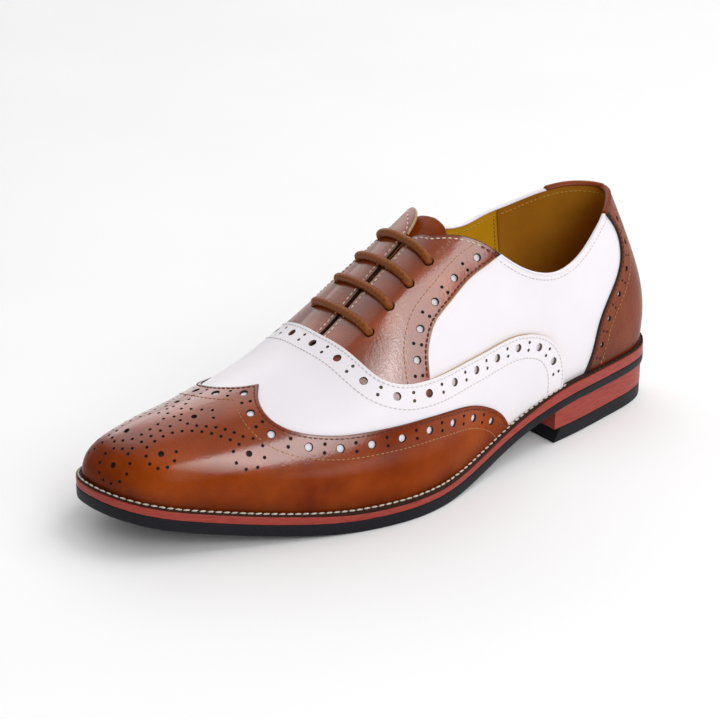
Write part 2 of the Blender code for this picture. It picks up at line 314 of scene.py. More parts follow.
def innerWall(spots):  # outer wall spots carried to the inner wall behind the throat
    return np.stack([-spots[:, 0], spots[:, 1]], 1)[::-1]


def overRidge(spots):  # outer spots mirrored over the ridge
    return np.stack([spots[:, 0], math.pi - spots[:, 1]], 1)[::-1]


def topTurn(x, side):
    along = alongAt(x)
    rise = topHeight[side](x) - soleHeight(x) - shoe["footLow"]
    share = np.clip(rise / crownRise(along), 0.01, 0.9995)
    power = fullness[side](along)
    return np.arctan2(share, (1 - share ** power) ** (1 / power))


def planSpot(x, y):  # the spot over a place in plan, on top of the foot
    along = alongAt(x)
    offset = y - ridgeY(along)
    out = np.zeros(np.shape(along))
    for side in sides:
        share = np.clip(side * offset / wallHalf(along, side)[0], 0, 0.999)
        power = fullness[side](along)
        turn = np.arctan2((1 - share ** power) ** (1 / power), share)
        out = np.where(side * offset >= 0, turn if side > 0 else math.pi - turn, out)
    return np.stack([along, out], -1)


# The line moved sideways on the surface, to the left of its run seen from outside
def beside(spots, far):
    point, normal, _ = lie(spots)
    run = np.gradient(point, axis=0)
    run /= np.maximum(np.linalg.norm(run, axis=1, keepdims=True), 1e-9)
    moved = walk(spots, np.cross(normal, run), far)
    return moved[gapsTo(treeOf(point), skin(moved)) > abs(far) * 0.97]  # no loops in tight turns


print("last worked out")

# Finishes: shader groups first, then one material for each leather, thread and sole layer


def newGroup(name, kind, inputs, outputs):
    group = bpy.data.node_groups.new(name, kind)
    for title, socket, value in inputs:
        made = group.interface.new_socket(title, in_out="INPUT", socket_type=socket)
        if value is not None:
            made.default_value = value
    for title, socket in outputs:
        group.interface.new_socket(title, in_out="OUTPUT", socket_type=socket)
    return group, group.nodes.new("NodeGroupInput"), group.nodes.new("NodeGroupOutput")


def add(tree, kind, inputs=None, **settings):  # a node with its properties and sockets set
    node = tree.nodes.new(kind)
    for key, value in settings.items():
        setattr(node, key, value)
    for key, value in (inputs or {}).items():
        if isinstance(value, bpy.types.NodeSocket):
            tree.links.new(value, node.inputs[key])
        else:
            node.inputs[key].default_value = value
    return node


def calc(tree, operation, first, second=0.0):
    return add(tree, "ShaderNodeMath", {0: first, 1: second}, operation=operation).outputs[0]


def mixColour(tree, share, first, second):
    return add(tree, "ShaderNodeMix", {0: share, 6: first, 7: second}, data_type="RGBA").outputs[2]


def mapTo(tree, value, low, high, newLow=0.0, newHigh=1.0):
    ends = {"From Min": low, "From Max": high, "To Min": newLow, "To Max": newHigh}
    return add(tree, "ShaderNodeMapRange", {"Value": value, **ends}, clamp=True).outputs[0]


def noiseAt(tree, spot, scale, detail, **more):
    inputs = {"Vector": spot, "Scale": scale, "Detail": detail, **more}
    return add(tree, "ShaderNodeTexNoise", inputs).outputs["Fac"]


def objectPlace(tree):
    return add(tree, "ShaderNodeTexCoord").outputs["Object"]


def pointValue(tree, name, output="Fac"):
    return add(tree, "ShaderNodeAttribute", attribute_name=name).outputs[output]


def grainGroup():  # pebbled leather: pore height, soft waviness and a slow mottle
    inputs = [
        ("Scale", "NodeSocketFloat", 900.0), ("Pebble", "NodeSocketFloat", 0.5),
        ("Wrinkle", "NodeSocketFloat", 0.3),
    ]
    outputs = [("Height", "NodeSocketFloat"), ("Mottle", "NodeSocketFloat")]
    tree, start, end = newGroup("leatherGrain", "ShaderNodeTree", inputs, outputs)
    place, scale = objectPlace(tree), start.outputs["Scale"]
    pores = add(tree, "ShaderNodeTexVoronoi", {"Vector": place, "Scale": scale}, feature="SMOOTH_F1")
    fine = noiseAt(tree, place, scale, 3.0)
    stretched = add(tree, "ShaderNodeMapping", {"Vector": place, "Scale": (1.0, 0.35, 0.6)}).outputs[0]
    folds = noiseAt(tree, stretched, 420.0, 4.0, Distortion=0.6)
    ridge = calc(tree, "ABSOLUTE", calc(tree, "SUBTRACT", folds, 0.5))
    slow = noiseAt(tree, place, 38.0, 3.0, Roughness=0.55)
    pebble = calc(tree, "MULTIPLY", pores.outputs["Distance"], start.outputs["Pebble"])
    wrinkle = calc(tree, "MULTIPLY", mapTo(tree, ridge, 0.0, 0.08), start.outputs["Wrinkle"])
    coarse = calc(tree, "ADD", pebble, wrinkle)
    height = calc(tree, "ADD", coarse, calc(tree, "MULTIPLY", fine, 0.35))
    tree.links.new(height, end.inputs["Height"])
    tree.links.new(mapTo(tree, slow, 0.3, 0.7), end.inputs["Mottle"])
    return tree


def edgeGroup():  # darkening that gathers along a panel's cut edge and down towards the welt
    inputs = [("Reach", "NodeSocketFloat", 5.0), ("Low", "NodeSocketFloat", 9.0)]
    tree, start, end = newGroup("edgeDarkening", "ShaderNodeTree", inputs, [("Mask", "NodeSocketFloat")])
    cloud = mapTo(tree, noiseAt(tree, objectPlace(tree), 130.0, 3.0), 0.3, 0.7, 0.55, 1.0)
    masks = []
    for name, reach in (("edgeGap", "Reach"), ("rise", "Low")):
        share = calc(tree, "DIVIDE", pointValue(tree, name), start.outputs[reach])
        near = mapTo(tree, share, 0.0, 1.0, 1.0, 0.0)
        masks.append(calc(tree, "MULTIPLY", near, near))
    both = calc(tree, "MAXIMUM", *masks)
    tree.links.new(calc(tree, "MULTIPLY", both, cloud), end.inputs["Mask"])
    return tree


leatherGrain, edgeDarkening = grainGroup(), edgeGroup()


def newMaterial(name):
    made = bpy.data.materials.new(name)
    made.use_nodes = True
    return made, made.node_tree, made.node_tree.nodes["Principled BSDF"]


def setShader(shader, values):
    for key, value in values.items():
        shader.inputs[key].default_value = value


def leather(name, light, dark, darkest, look):
    made, tree, shader = newMaterial(name)
    grain = add(tree, "ShaderNodeGroup", node_tree=leatherGrain)
    setShader(grain, {key: look[key.lower()] for key in ("Scale", "Pebble", "Wrinkle")})
    darkening = add(tree, "ShaderNodeGroup", node_tree=edgeDarkening)
    setShader(darkening, {key: look[key.lower()] for key in ("Reach", "Low")})
    mottle = grain.outputs["Mottle"]
    body = mixColour(tree, mottle, dark, light)
    # Darker along the cut edges and low by the welt
    share = calc(tree, "MULTIPLY", darkening.outputs["Mask"], look["darkening"])
    tree.links.new(mixColour(tree, share, body, darkest), shader.inputs["Base Color"])
    rough = mapTo(tree, mottle, 0.0, 1.0, look["rough"] + 0.05, look["rough"] - 0.04)
    tree.links.new(rough, shader.inputs["Roughness"])
    for layer, strength in (("Normal", look["bump"]), ("Coat Normal", look["coatBump"])):
        relief = {"Height": grain.outputs["Height"], "Strength": strength, "Distance": 0.0003}
        tree.links.new(add(tree, "ShaderNodeBump", relief).outputs[0], shader.inputs[layer])
    setShader(shader, {
        "Specular IOR Level": look["spec"], "Coat Weight": look["coat"],
        "Coat Roughness": look["coatRough"], "Coat IOR": look.get("coatIor", 1.5),
    })
    if "polish" in look:  # wax is rubbed into the upper part of the toe, the wall by the welt stays duller
        high = mapTo(tree, pointValue(tree, "rise"), *look["polish"], 0.05, 1.0)
        forward = add(tree, "ShaderNodeSeparateXYZ", {"Vector": objectPlace(tree)}).outputs["X"]
        wax = calc(tree, "MULTIPLY", high, mapTo(tree, forward, *look["toe"], 0.2, 1.0))
        tree.links.new(calc(tree, "MULTIPLY", wax, look["coat"]), shader.inputs["Coat Weight"])
    return made


# Thread, rubber and board: two tones of one noise, which is also the roughness and the bump
def plain(name, colour, second, rough, scale, bump, stretch=(1.0, 1.0, 1.0), spec=0.3):
    made, tree, shader = newMaterial(name)
    turned = add(tree, "ShaderNodeMapping", {"Vector": objectPlace(tree), "Scale": stretch}).outputs[0]
    noise = noiseAt(tree, turned, scale, 5.0)
    tone = mixColour(tree, mapTo(tree, noise, 0.3, 0.7), colour, second)
    tree.links.new(tone, shader.inputs["Base Color"])
    tree.links.new(mapTo(tree, noise, 0.3, 0.7, rough - 0.06, rough + 0.08), shader.inputs["Roughness"])
    relief = {"Height": noise, "Strength": bump, "Distance": 0.0004}
    tree.links.new(add(tree, "ShaderNodeBump", relief).outputs[0], shader.inputs["Normal"])
    shader.inputs["Specular IOR Level"].default_value = spec
    return made


tanLook = {
    "scale": 900.0, "pebble": 0.25, "wrinkle": 0.4, "reach": 3.0, "low": 9.0, "darkening": 0.6,
    "rough": 0.3, "bump": 0.35, "spec": 0.04,
    "coat": 1.0, "coatRough": 0.16, "coatIor": 1.8, "coatBump": 0.1,
    "polish": (14.0, 20.0), "toe": (0.03, 0.07),
}
facingLook = {
    "scale": 900.0, "pebble": 0.3, "wrinkle": 0.35, "reach": 3.0, "low": 9.0, "darkening": 0.6,
    "rough": 0.3, "bump": 0.5, "spec": 0.12,
    "coat": 1.0, "coatRough": 0.17, "coatIor": 2.05, "coatBump": 0.15,
}
innerLook = {**facingLook, "coat": 0.5}
counterLook = {**facingLook, "coat": 0.08, "spec": 0.05}
whiteLook = {
    "scale": 1000.0, "pebble": 0.3, "wrinkle": 0.1, "reach": 2.0, "low": 7.0, "darkening": 0.2,
    "rough": 0.4, "bump": 0.12, "spec": 0.35, "coat": 0.1, "coatRough": 0.2, "coatBump": 0.12,
}
liningLook = {
    "scale": 700.0, "pebble": 0.4, "wrinkle": 0.3, "reach": 3.0, "low": 10.0, "darkening": 0.3,
    "rough": 0.5, "bump": 0.2, "spec": 0.3, "coat": 0.0, "coatRough": 0.3, "coatBump": 0.2,
}

# Leather tones: light, dark, and darkest along the edges and low by the welt
tanTones = (0.33, 0.056, 0.004, 1), (0.18, 0.022, 0.001, 1), (0.04, 0.006, 0.0015, 1)
counterTones = (0.25, 0.052, 0.014, 1), (0.15, 0.025, 0.006, 1), (0.04, 0.006, 0.0015, 1)
whiteTones = (0.88, 0.845, 0.885, 1), (0.85, 0.815, 0.855, 1), (0.66, 0.58, 0.5, 1)
heelTones = (0.52, 0.22, 0.016, 1), (0.4, 0.155, 0.009, 1), (0.27, 0.095, 0.008, 1)
yellowTones = (0.75, 0.4, 0.008, 1), (0.66, 0.34, 0.006, 1), (0.45, 0.2, 0.008, 1)
tanLeather = leather("tanLeather", *tanTones, tanLook)
tanFacing = leather("tanFacing", *tanTones, facingLook)
tanInner = leather("tanInner", *tanTones, innerLook)
tanTongue = leather("tanTongue", *tanTones, counterLook)
tanCounter = leather("tanCounter", *counterTones, counterLook)
whiteLeather = leather("whiteLeather", *whiteTones, whiteLook)
liningTan = leather("liningTan", *heelTones, liningLook)
liningYellow = leather("liningYellow", *yellowTones, liningLook)

# Cut edges, painted shade in the holes, threads and the sole's layers: two tones, roughness, noise scale,
# bump
# Dark dye on the edges; on the walls, lip rings and floors of the holes it is painted shade
darkEdgeAndHoleShade = plain("darkEdgeAndHoleShade", (0.012, 0.005, 0.003, 1), (0.03, 0.01, 0.005, 1), 0.6, 1800.0, 0.3)
# Painted shade for the vamp's holes: their walls and the floors of the small pits
holeShade = plain("holeShade", (0.11, 0.07, 0.05, 1), (0.19, 0.13, 0.095, 1), 0.8, 1800.0, 0.3)
rawEdge = plain("rawEdge", (0.55, 0.39, 0.22, 1), (0.42, 0.28, 0.15, 1), 0.8, 1800.0, 0.4)
creamThread = plain("creamThread", (0.78, 0.68, 0.54, 1), (0.6, 0.48, 0.36, 1), 0.7, 2500.0, 0.4)
weltThread = plain("weltThread", (0.7, 0.64, 0.55, 1), (0.45, 0.38, 0.3, 1), 0.7, 1500.0, 0.4)
tanThread = plain("tanThread", (0.5, 0.27, 0.1, 1), (0.34, 0.16, 0.06, 1), 0.65, 2500.0, 0.4)
brownThread = plain("brownThread", (0.19, 0.034, 0.012, 1), (0.1, 0.017, 0.007, 1), 0.6, 2500.0, 0.4)
ropeThread = plain("ropeThread", (0.2, 0.034, 0.014, 1), (0.1, 0.016, 0.008, 1), 0.55, 2500.0, 0.4)
collarThread = plain("collarThread", (0.62, 0.42, 0.1, 1), (0.45, 0.28, 0.05, 1), 0.7, 2500.0, 0.4)
liningThread = plain("liningThread", (0.3, 0.13, 0.02, 1), (0.2, 0.08, 0.012, 1), 0.7, 2500.0, 0.4)
paleThread = plain("paleThread", (0.68, 0.64, 0.63, 1), (0.55, 0.5, 0.47, 1), 0.7, 2500.0, 0.4)
blackRubber = plain(
    "blackRubber", (0.007, 0.007, 0.01, 1), (0.014, 0.014, 0.019, 1), 0.5, 900.0, 0.35, (1, 1, 2.5), 0.15,
)
redEdge = plain(
    "redEdge", (0.4, 0.06, 0.04, 1), (0.27, 0.034, 0.024, 1), 0.42, 700.0, 0.25, (0.25, 0.25, 3.0), 0.22,
)
weltBrown = plain("weltBrown", (0.045, 0.017, 0.01, 1), (0.02, 0.008, 0.005, 1), 0.6, 1200.0, 0.4, spec=0.1)
print("finishes made")

# Panels of the upper, cut flat in (along, turn) with their holes, then laid over the last


def meshObject(name, points, faces, materials, slots=None, normals=None, values=None):
    mesh = bpy.data.meshes.new(name)
    mesh.from_pydata([tuple(p) for p in points], [], [tuple(int(i) for i in face) for face in faces])
    for finish in materials:
        mesh.materials.append(finish)
    if slots is not None:
        mesh.polygons.foreach_set("material_index", np.asarray(slots, np.int32))
    for title, numbers in (values or {}).items():
        attribute = mesh.attributes.new(title, "FLOAT", "POINT")
        attribute.data.foreach_set("value", np.asarray(numbers, np.float32))
    mesh.shade_smooth()
    if normals is not None:
        mesh.normals_split_custom_set([tuple(n) for n in normals])
    made = bpy.data.objects.new(name, mesh)
    bpy.context.scene.collection.objects.link(made)
    return made


def place(piece, slotName, *nodes):
    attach(piece, "root")
    if nodes:
        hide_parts(*nodes)
    return piece


flatScale = np.array([148.0, 66.0])  # spot to roughly millimetres, for even triangles


def inside(points, loop):  # even-odd test of flat points against one closed loop
    x, y = points[:, 0], points[:, 1]
    hit = np.zeros(len(points), bool)
    ends = np.roll(loop, -1, axis=0)
    for (x0, y0), (x1, y1) in zip(loop, ends):
        if y0 == y1:
            continue
        cross = (y0 > y) != (y1 > y)
        hit ^= cross & (x < (x1 - x0) * (y - y0) / (y1 - y0) + x0)
    return hit


def ring(spot, radius, sidesCount):  # a round hole's rim on the surface
    angle = np.linspace(0, 2 * math.pi, sidesCount, endpoint=False)
    _, normal, ways = lie(spot[None])
    first = ways[0, :, 0] / np.linalg.norm(ways[0, :, 0])
    second = np.cross(normal[0], first)
    move = radius * (np.cos(angle)[:, None] * first + np.sin(angle)[:, None] * second)
    return stepBy(np.repeat(spot[None], sidesCount, 0), move, np.repeat(ways, sidesCount, 0))


def oneGroup(marks):  # triangles whose three corners carry the same mark
    return (marks[:, 0] > 0) & (marks[:, 0] == marks[:, 1]) & (marks[:, 1] == marks[:, 2])


# Punched holes, in millimetres
punch = {
    "lip": 0.28,  # eased leather round a hole
    "drop": 0.16,  # the rim lies this much lower
    "tilt": 0.8,  # and its normal leans in
    "plugWide": 1.12,  # a pit's floor, in parts of the hole
    "plugThick": 0.2,
    "apart": 0.7,  # least leather between two holes
    "fromEdge": 1.2,  # and to an edge
}


# The outline turned one way round, the way inward at each point and a tree of its points
def outlineWays(outline):
    flat = outline * flatScale
    if np.sum(flat[:, 0] * np.roll(flat[:, 1], -1) - np.roll(flat[:, 0], -1) * flat[:, 1]) < 0:
        outline = outline[::-1]
    edge, normal, _ = lie(outline)
    run = np.roll(edge, -1, 0) - np.roll(edge, 1, 0)
    run /= np.maximum(np.linalg.norm(run, axis=1, keepdims=True), 1e-9)
    return outline, np.cross(run, normal), treeOf(edge)


# The next three give rows of spots, how far each drops below the panel's level, and its normal's tilt
def easedEdge(outline, inward, tree, soft):
    rows = [(outline, np.full(len(outline), soft * 0.6), -inward * 0.9)]
    for far, drop, tilt in ((soft * 0.35, soft * 0.2, 0.5), (soft, 0.0, 0.0)):
        moved = walk(outline, inward, far, 1)
        keep = gapsTo(tree, skin(moved)) > far * 0.9
        rows.append((moved[keep], np.full(keep.sum(), drop), -inward[keep] * tilt))
    return rows


def holeRim(spot, radius):
    count = 18 if radius > 1.2 else 10
    rim, lip = ring(spot, radius, count), ring(spot, radius + punch["lip"], count)
    away = skin(rim) - skin(spot[None])[0]
    away /= np.linalg.norm(away, axis=1, keepdims=True)
    sunk = rim, np.full(count, punch["drop"]), -away * punch["tilt"]
    return [sunk, (lip, np.zeros(count), np.zeros((count, 3)))]


def gridInside(flat, tree, holes, cell, soft):  # staggered, off the edge and the holes
    low, high = flat.min(0), flat.max(0)
    xs, ys = np.arange(low[0], high[0], cell), np.arange(low[1], high[1], cell)
    grid = np.stack(np.meshgrid(xs, ys, indexing="ij"), -1)
    grid[:, ::2, 0] += cell / 2
    grid = grid.reshape(-1, 2)
    grid = grid[inside(grid, flat)]
    points = skin(grid / flatScale)
    keep = gapsTo(tree, points) > max(soft * 1.6, cell * 0.5)
    for spot, radius, _ in holes:
        far = np.linalg.norm(points - skin(spot[None])[0], axis=1)
        keep &= far > radius + punch["lip"] + cell * 0.3
    count = keep.sum()
    return grid[keep] / flatScale, np.zeros(count), np.zeros((count, 3))


def cutTriangles(spots, loops, holes):  # loops: the outline's points, then each hole's
    flat = spots * flatScale
    edges = [(int(a), int(b)) for loop in loops for a, b in zip(loop, np.roll(loop, -1))]
    done = delaunay_2d_cdt([Vector(p) for p in flat], edges, [], 0, 1e-7, True)
    used = np.array([ids[0] for ids in done[3]])
    tris = used[np.array(done[2])]
    middle = flat[tris].mean(1)
    wanted = inside(middle, flat[loops[0]])
    rimOf = np.zeros(len(spots), int)
    for i, ((spot, radius, _), loop) in enumerate(zip(holes, loops[1:]), 1):
        near = np.linalg.norm(middle - spot * flatScale, axis=1) < radius * 6
        wanted[near] &= ~inside(middle[near], flat[loop])
        rimOf[loop] = i
    wanted &= ~oneGroup(rimOf[tris])
    a, b, c = flat[tris].transpose(1, 0, 2)
    area = np.abs((b - a)[:, 0] * (c - a)[:, 1] - (b - a)[:, 1] * (c - a)[:, 0])
    wanted &= ~((tris < len(loops[0])).all(1) & (area < 1e-5))  # no slivers along a straight edge
    return tris[wanted][:, ::-1]


# A closed dark plug of painted shade, a little wider than the hole: points, faces and corner normals
def shadePlug(rim, normal, offset):
    size, middle = len(rim), rim.mean(0)
    away = rim - middle
    top = middle + away * punch["plugWide"] + offset
    order = np.arange(size)
    if np.cross(top[1] - top[0], top[2] - top[0]) @ normal[0] < 0:
        order = order[::-1]
    after = np.roll(order, -1)
    walls = np.stack([after, order, order + size, after + size], 1)
    away /= np.linalg.norm(away, axis=1, keepdims=True)
    normals = [normal[order], -normal[order[::-1]], away[walls % size].reshape(-1, 3)]
    faces = [order, order[::-1] + size, *walls]
    return np.concatenate([top, top - normal * punch["plugThick"]]), faces, np.concatenate(normals)


def panel(name, outline, cut, finishes, holes=(), lift=noLift, bend=None, raw=None):
    # cut: level and thick in mm, cell size, round of the edge; holes: spot, radius, floor or through
    # finishes: face, edge, back and, when the holes differ from the edge, the painted shade of the holes
    level, soft = cut["level"], cut["soft"]
    outline, inward, tree = outlineWays(outline)
    rows = easedEdge(outline, inward, tree, soft)
    loops, start = [np.arange(len(outline))], sum(len(row[0]) for row in rows)
    for spot, radius, _ in holes:
        rows += holeRim(spot, radius)
        loops.append(start + np.arange(len(rows[-1][0])))
        start += 2 * len(loops[-1])
    rows.append(gridInside(outline * flatScale, tree, holes, cut["cell"], soft))
    spots, drops, tilts = [np.concatenate(values) for values in zip(*rows)]
    count, tris = len(spots), cutTriangles(spots, loops, holes)

    # face and back
    point, normal, _ = lie(spots)
    raised = lift(spots)
    top = point + normal * (level - drops)[:, None] + raised
    bottom = point + normal * (level - cut["thick"]) + raised
    topNormal = (lie(bend(spots))[1] if bend else normal) + tilts
    topNormal /= np.linalg.norm(topNormal, axis=1, keepdims=True)
    faces = [tuple(t) for t in tris] + [tuple(t[::-1] + count) for t in tris]
    corners = [topNormal[tris].reshape(-1, 3), -normal[tris[:, ::-1]].reshape(-1, 3)]
    gap = gapsTo(tree, point)
    # The hole slot gives the holes' walls and floors their painted shade; edges that are not raw take it
    # too
    holeSlot = 3 if len(finishes) > 3 else 1
    edgeSlot = np.where(raw(spots), 1, holeSlot) if raw else np.ones(count, int)
    onLip = gap[tris].max(1) < cut.get("lip", -1.0) * 1.05
    slots = [np.where(onLip, edgeSlot[tris[:, 0]], 0), np.full(len(tris), 2 if len(finishes) > 2 else 0)]
    # A ringed panel gets a dark ring of painted shade on each hole's lip
    if cut.get("ringed", holeSlot == 1):
        holeOf = np.zeros(count, int)
        for i, loop in enumerate(loops[1:], 1):
            holeOf[loop[0]:loop[0] + 2 * len(loop)] = i
        slots[0][oneGroup(holeOf[tris])] = holeSlot

    # walls of the outline and the holes
    present = {tuple(e) for t in tris for e in ((t[0], t[1]), (t[1], t[2]), (t[2], t[0]))}
    wallOut, walls = np.zeros((count, 3)), []
    wallOut[loops[0]] = -inward
    for loop in loops[1:]:
        wallOut[loop] = tilts[loop] / punch["tilt"]
    for loop in loops:
        for a, b in zip(loop, np.roll(loop, -1)):
            first, second = (a, b) if (a, b) in present else (b, a)
            walls.append((second, first, first + count, second + count))
    faces += walls
    corners.append(wallOut[np.array(walls) % count].reshape(-1, 3))
    slots += [edgeSlot[loops[0]], np.full(len(walls) - len(outline), holeSlot)]

    # floors of the pits: dark plugs of painted shade
    points, owners, start = [top, bottom], [np.arange(count)] * 2, 2 * count
    for loop, (_, _, floor) in zip(loops[1:], holes):
        if floor:
            offset = normal[loop] * (level - floor) + raised[loop]
            plug, plugFaces, plugNormals = shadePlug(point[loop], normal[loop], offset)
            points.append(plug)
            owners += [loop, loop]
            faces += [tuple(start + face) for face in plugFaces]
            corners.append(plugNormals)
            slots.append(np.full(len(plugFaces), holeSlot))
            start += len(plug)
    owners = np.concatenate(owners)
    rise = point[:, 2] - soleHeight(point[:, 0]) - shoe["footLow"]
    return meshObject(
        name, toWorld(np.concatenate(points)), faces, finishes, np.concatenate(slots),
        np.concatenate(corners), {"edgeGap": gap[owners], "rise": rise[owners]},
    )


feather = math.radians(-0.6)  # the foot of every panel is lasted just under the welt line


def levelLine(along, turn):
    return np.stack([along, np.full(len(along), turn)], 1)


def upright(along, turn):
    return np.stack([np.full(len(turn), along), turn], 1)


def footLine(fromX, toX, step=1.5):
    count = max(int(abs(toX - fromX) / step), 2)
    along = np.linspace(alongAt(abs(fromX)) * np.sign(fromX), alongAt(abs(toX)) * np.sign(toX), count)
    return levelLine(along, feather)


def topLine(fromX, toX, step=1.2):  # along the collar's edge, from one wall round the back to the other
    ends = [alongAt(abs(x)) * np.sign(x) for x in (fromX, toX)]
    along = np.linspace(*ends, 400)
    x = xAt(np.abs(along))
    turn = np.where(along < 0, topTurn(x, -1), topTurn(x, 1))
    return evenly(np.stack([along, turn], 1), step)


def joined(*lines):  # one closed outline from lines that meet end to end
    spots = np.concatenate(lines)
    points = skin(spots)
    apart = np.linalg.norm(points - np.roll(points, 1, 0), axis=1) > 0.25
    return spots[apart]


def onTop(rows, side=1):  # rows end at the topline: the last turn becomes the collar's own
    x = rows[-1][0]
    return rows[:-1] + [(x, math.degrees(topTurn(x, side)))]


def halves(line, turn):  # a line split where it crosses a turn, both halves running away from there
    nearest = int(np.argmin(np.abs(line[:, 1] - turn)))
    return line[nearest::-1], line[nearest:]


def punchRow(line, pitches, row):  # a large hole at each mark, two small pits between the marks
    line = evenly(line, 0.8)
    run = lengths(line)
    marks = row.get("lead", 0.0) + np.append(0.0, np.cumsum(pitches))
    marks = marks[marks < run[-1] - 1.0]
    between = (marks[1:] + marks[:-1]) / 2

    def at(m):
        return np.stack([np.interp(m, run, line[:, k]) for k in (0, 1)], 1)

    holes = [(spot, row["bigHole"], 0.0) for spot in at(marks)]
    spots = at(between)
    ahead = skin(at(between + 0.5)) - skin(at(between - 0.5))
    _, normal, ways = lie(spots)
    up = np.cross(normal, ahead)
    up /= np.linalg.norm(up, axis=1, keepdims=True)
    for way in (1, -1):
        moved = stepBy(spots, up * way * row["pairGap"] / 2, ways)
        holes += [(spot, row["smallHole"], row["pit"]) for spot in moved]
    return holes


def clearOfFoot(holes, least):  # no hole runs into the welt
    spots = np.array([hole[0] for hole in holes])
    rise = skin(spots)[:, 2] - soleHeight(xAt(np.abs(spots[:, 0]))) - shoe["footLow"]
    return [hole for hole, high in zip(holes, rise) if high > least]


def clearOfCollar(holes, gap):
    return [hole for hole in holes if hole[0][1] < topTurn(xAt(hole[0][0]), 1) - gap]


def dropNear(holes, edge=None):  # the first of two holes that fall together stays, none cuts the edge
    points = skin(np.array([hole[0] for hole in holes]))
    edgePoints = None if edge is None else skin(edge)
    kept = []
    for i, hole in enumerate(holes):
        reach = hole[1] + punch["apart"]
        apart = [np.linalg.norm(points[i] - points[j]) > reach + holes[j][1] for j in kept]
        far = math.inf if edge is None else np.linalg.norm(edgePoints - points[i], axis=1).min()
        if all(apart) and far > hole[1] + punch["fromEdge"]:
            kept.append(i)
    return [holes[i] for i in kept]


# Wing cap: peak on the vamp, wings back along both sides to the waist
wing = {
    # x and turn in degrees
    "outer": [
        (112.5, -0.6), (114.5, 1.6), (120.5, 6.3), (130, 11.3), (141, 15.8), (153, 19.6),
        (168.5, 24), (185, 28.8), (196, 31.8), (209, 35.6), (216.5, 38.6), (223.5, 42.6),
        (229.5, 48.8), (232.5, 56.5), (231.5, 71), (225.5, 85),
    ],
    "inner": [
        (225.5, 85), (231, 90), (235, 95.5), (237.5, 102), (237.5, 110), (234.5, 121),
        (228.5, 130.5), (221, 137.5), (212, 142.5), (200, 147), (185, 151), (168.5, 156),
        (153, 160.4), (141, 164.2), (130, 168.7), (120.5, 173.7), (114.5, 178.4), (112.5, 180.6),
    ],
    "cut": {"level": 0.75, "thick": 1.3, "cell": 2.6, "soft": 0.5},
    "holeInset": 5.4,
    "bigHole": 1.65,
    "smallHole": 0.56,
    "pairGap": 3.6,
    "pit": 0.7,
    "firstPitch": 13.0,
    "lastPitch": 16.0,
    "turnGap": 3.2,  # wider step where the row turns back along the wing
    "peakTurn": 82.0,  # the row starts here, at the peak
}

# Medallion on the toe, laid out along and across the toe's own axis, then mirrored over it
medallion = {
    "middle": (260.0, -6.5),
    "axis": (0.973, -0.2305),
    "eye": 1.1,
    "dot": 0.5,
    "floor": 0.8,
    "pitch": 4.3,
    "skew": 0.35,  # the inner half's rear part is drawn forward, as the wing's inner edge is
    "skewAlong": (15, -25),
    "eyes": [(31.2, 10.7), (13.4, 19.5), (21.7, 0.0), (-5.2, 8.6), (-21.4, 29.9)],
    # eye, ring radius, first and last bearing in degrees, dots
    "rings": [(0, 7.6, -165, 165, 11), (1, 6.2, -60, 160, 7), (4, 6.6, -80, 225, 8)],
    # rows of dots, each a smooth line through a few places
    "rows": [
        [(27.6, 1.5), (24.6, 4.5), (20.8, 7), (16.5, 7.1), (9.1, 5), (3.5, 0)],
        [(2.1, 4.1), (-1.4, 11.4), (-9.8, 16.9), (-20.7, 25)],
        [(22.9, 11.1), (15.1, 10.5), (6.9, 9.4), (2.7, 8.7), (-2.6, 0)],
        [(-6, 2.8), (-10, 6.3), (-13.4, 9.1), (-12.2, 13.2)],
        [(17.7, 14.4), (13.7, 13.6), (5.6, 13.2), (1.5, 14.2), (-7.5, 18.7), (-18.3, 26.6)],
    ],
}


def toeSpot(places):
    places = np.array(places, float)
    drawn = medallion["skew"] * ramp(places[:, 0], *medallion["skewAlong"])
    places[:, 0] += drawn * np.maximum(-places[:, 1], 0)
    axis = np.array(medallion["axis"])
    side = np.array([-axis[1], axis[0]])
    plan = np.array(medallion["middle"]) + places[:, :1] * axis + places[:, 1:] * side
    return planSpot(plan[:, 0], plan[:, 1])


def medallionHoles():
    eyes, dots = np.array(medallion["eyes"]), []
    for row in medallion["rows"]:
        run = np.append(0.0, np.cumsum(np.linalg.norm(np.diff(np.array(row), axis=0), axis=1)))
        fine = np.linspace(0, run[-1], 80)
        line = np.stack([natural(run, column(row, k))(fine) for k in (0, 1)], 1)
        spots = toeSpot(line)
        far = lengths(spots)
        marks = np.linspace(0, far[-1], int(round(far[-1] / medallion["pitch"])) + 1)
        dots += [tuple(np.interp(m, far, line[:, k]) for k in (0, 1)) for m in marks]
    holes = []
    for mirror in (1, -1):
        flip = np.array([1.0, mirror])
        holes += [(spot, medallion["eye"], medallion["floor"]) for spot in toeSpot(eyes * flip)]
        holes += [(spot, medallion["dot"], medallion["floor"]) for spot in toeSpot(np.array(dots) * flip)]
        for eye, radius, first, last, count in medallion["rings"]:
            middle = toeSpot(eyes[eye:eye + 1] * flip)[0]
            ahead = skin(toeSpot(eyes[eye:eye + 1] * flip + [[0.5, 0.0]])) - skin(middle[None])
            normal = lie(middle[None])[1][0]
            ahead = ahead[0] / np.linalg.norm(ahead)
            left = np.cross(normal, ahead) * mirror
            for bearing in np.radians(np.linspace(first, last, count)):
                heading = math.cos(bearing) * ahead + math.sin(bearing) * left
                spot = walk(middle[None], heading[None], radius, 6)[0]
                holes.append((spot, medallion["dot"], medallion["floor"]))
    return holes


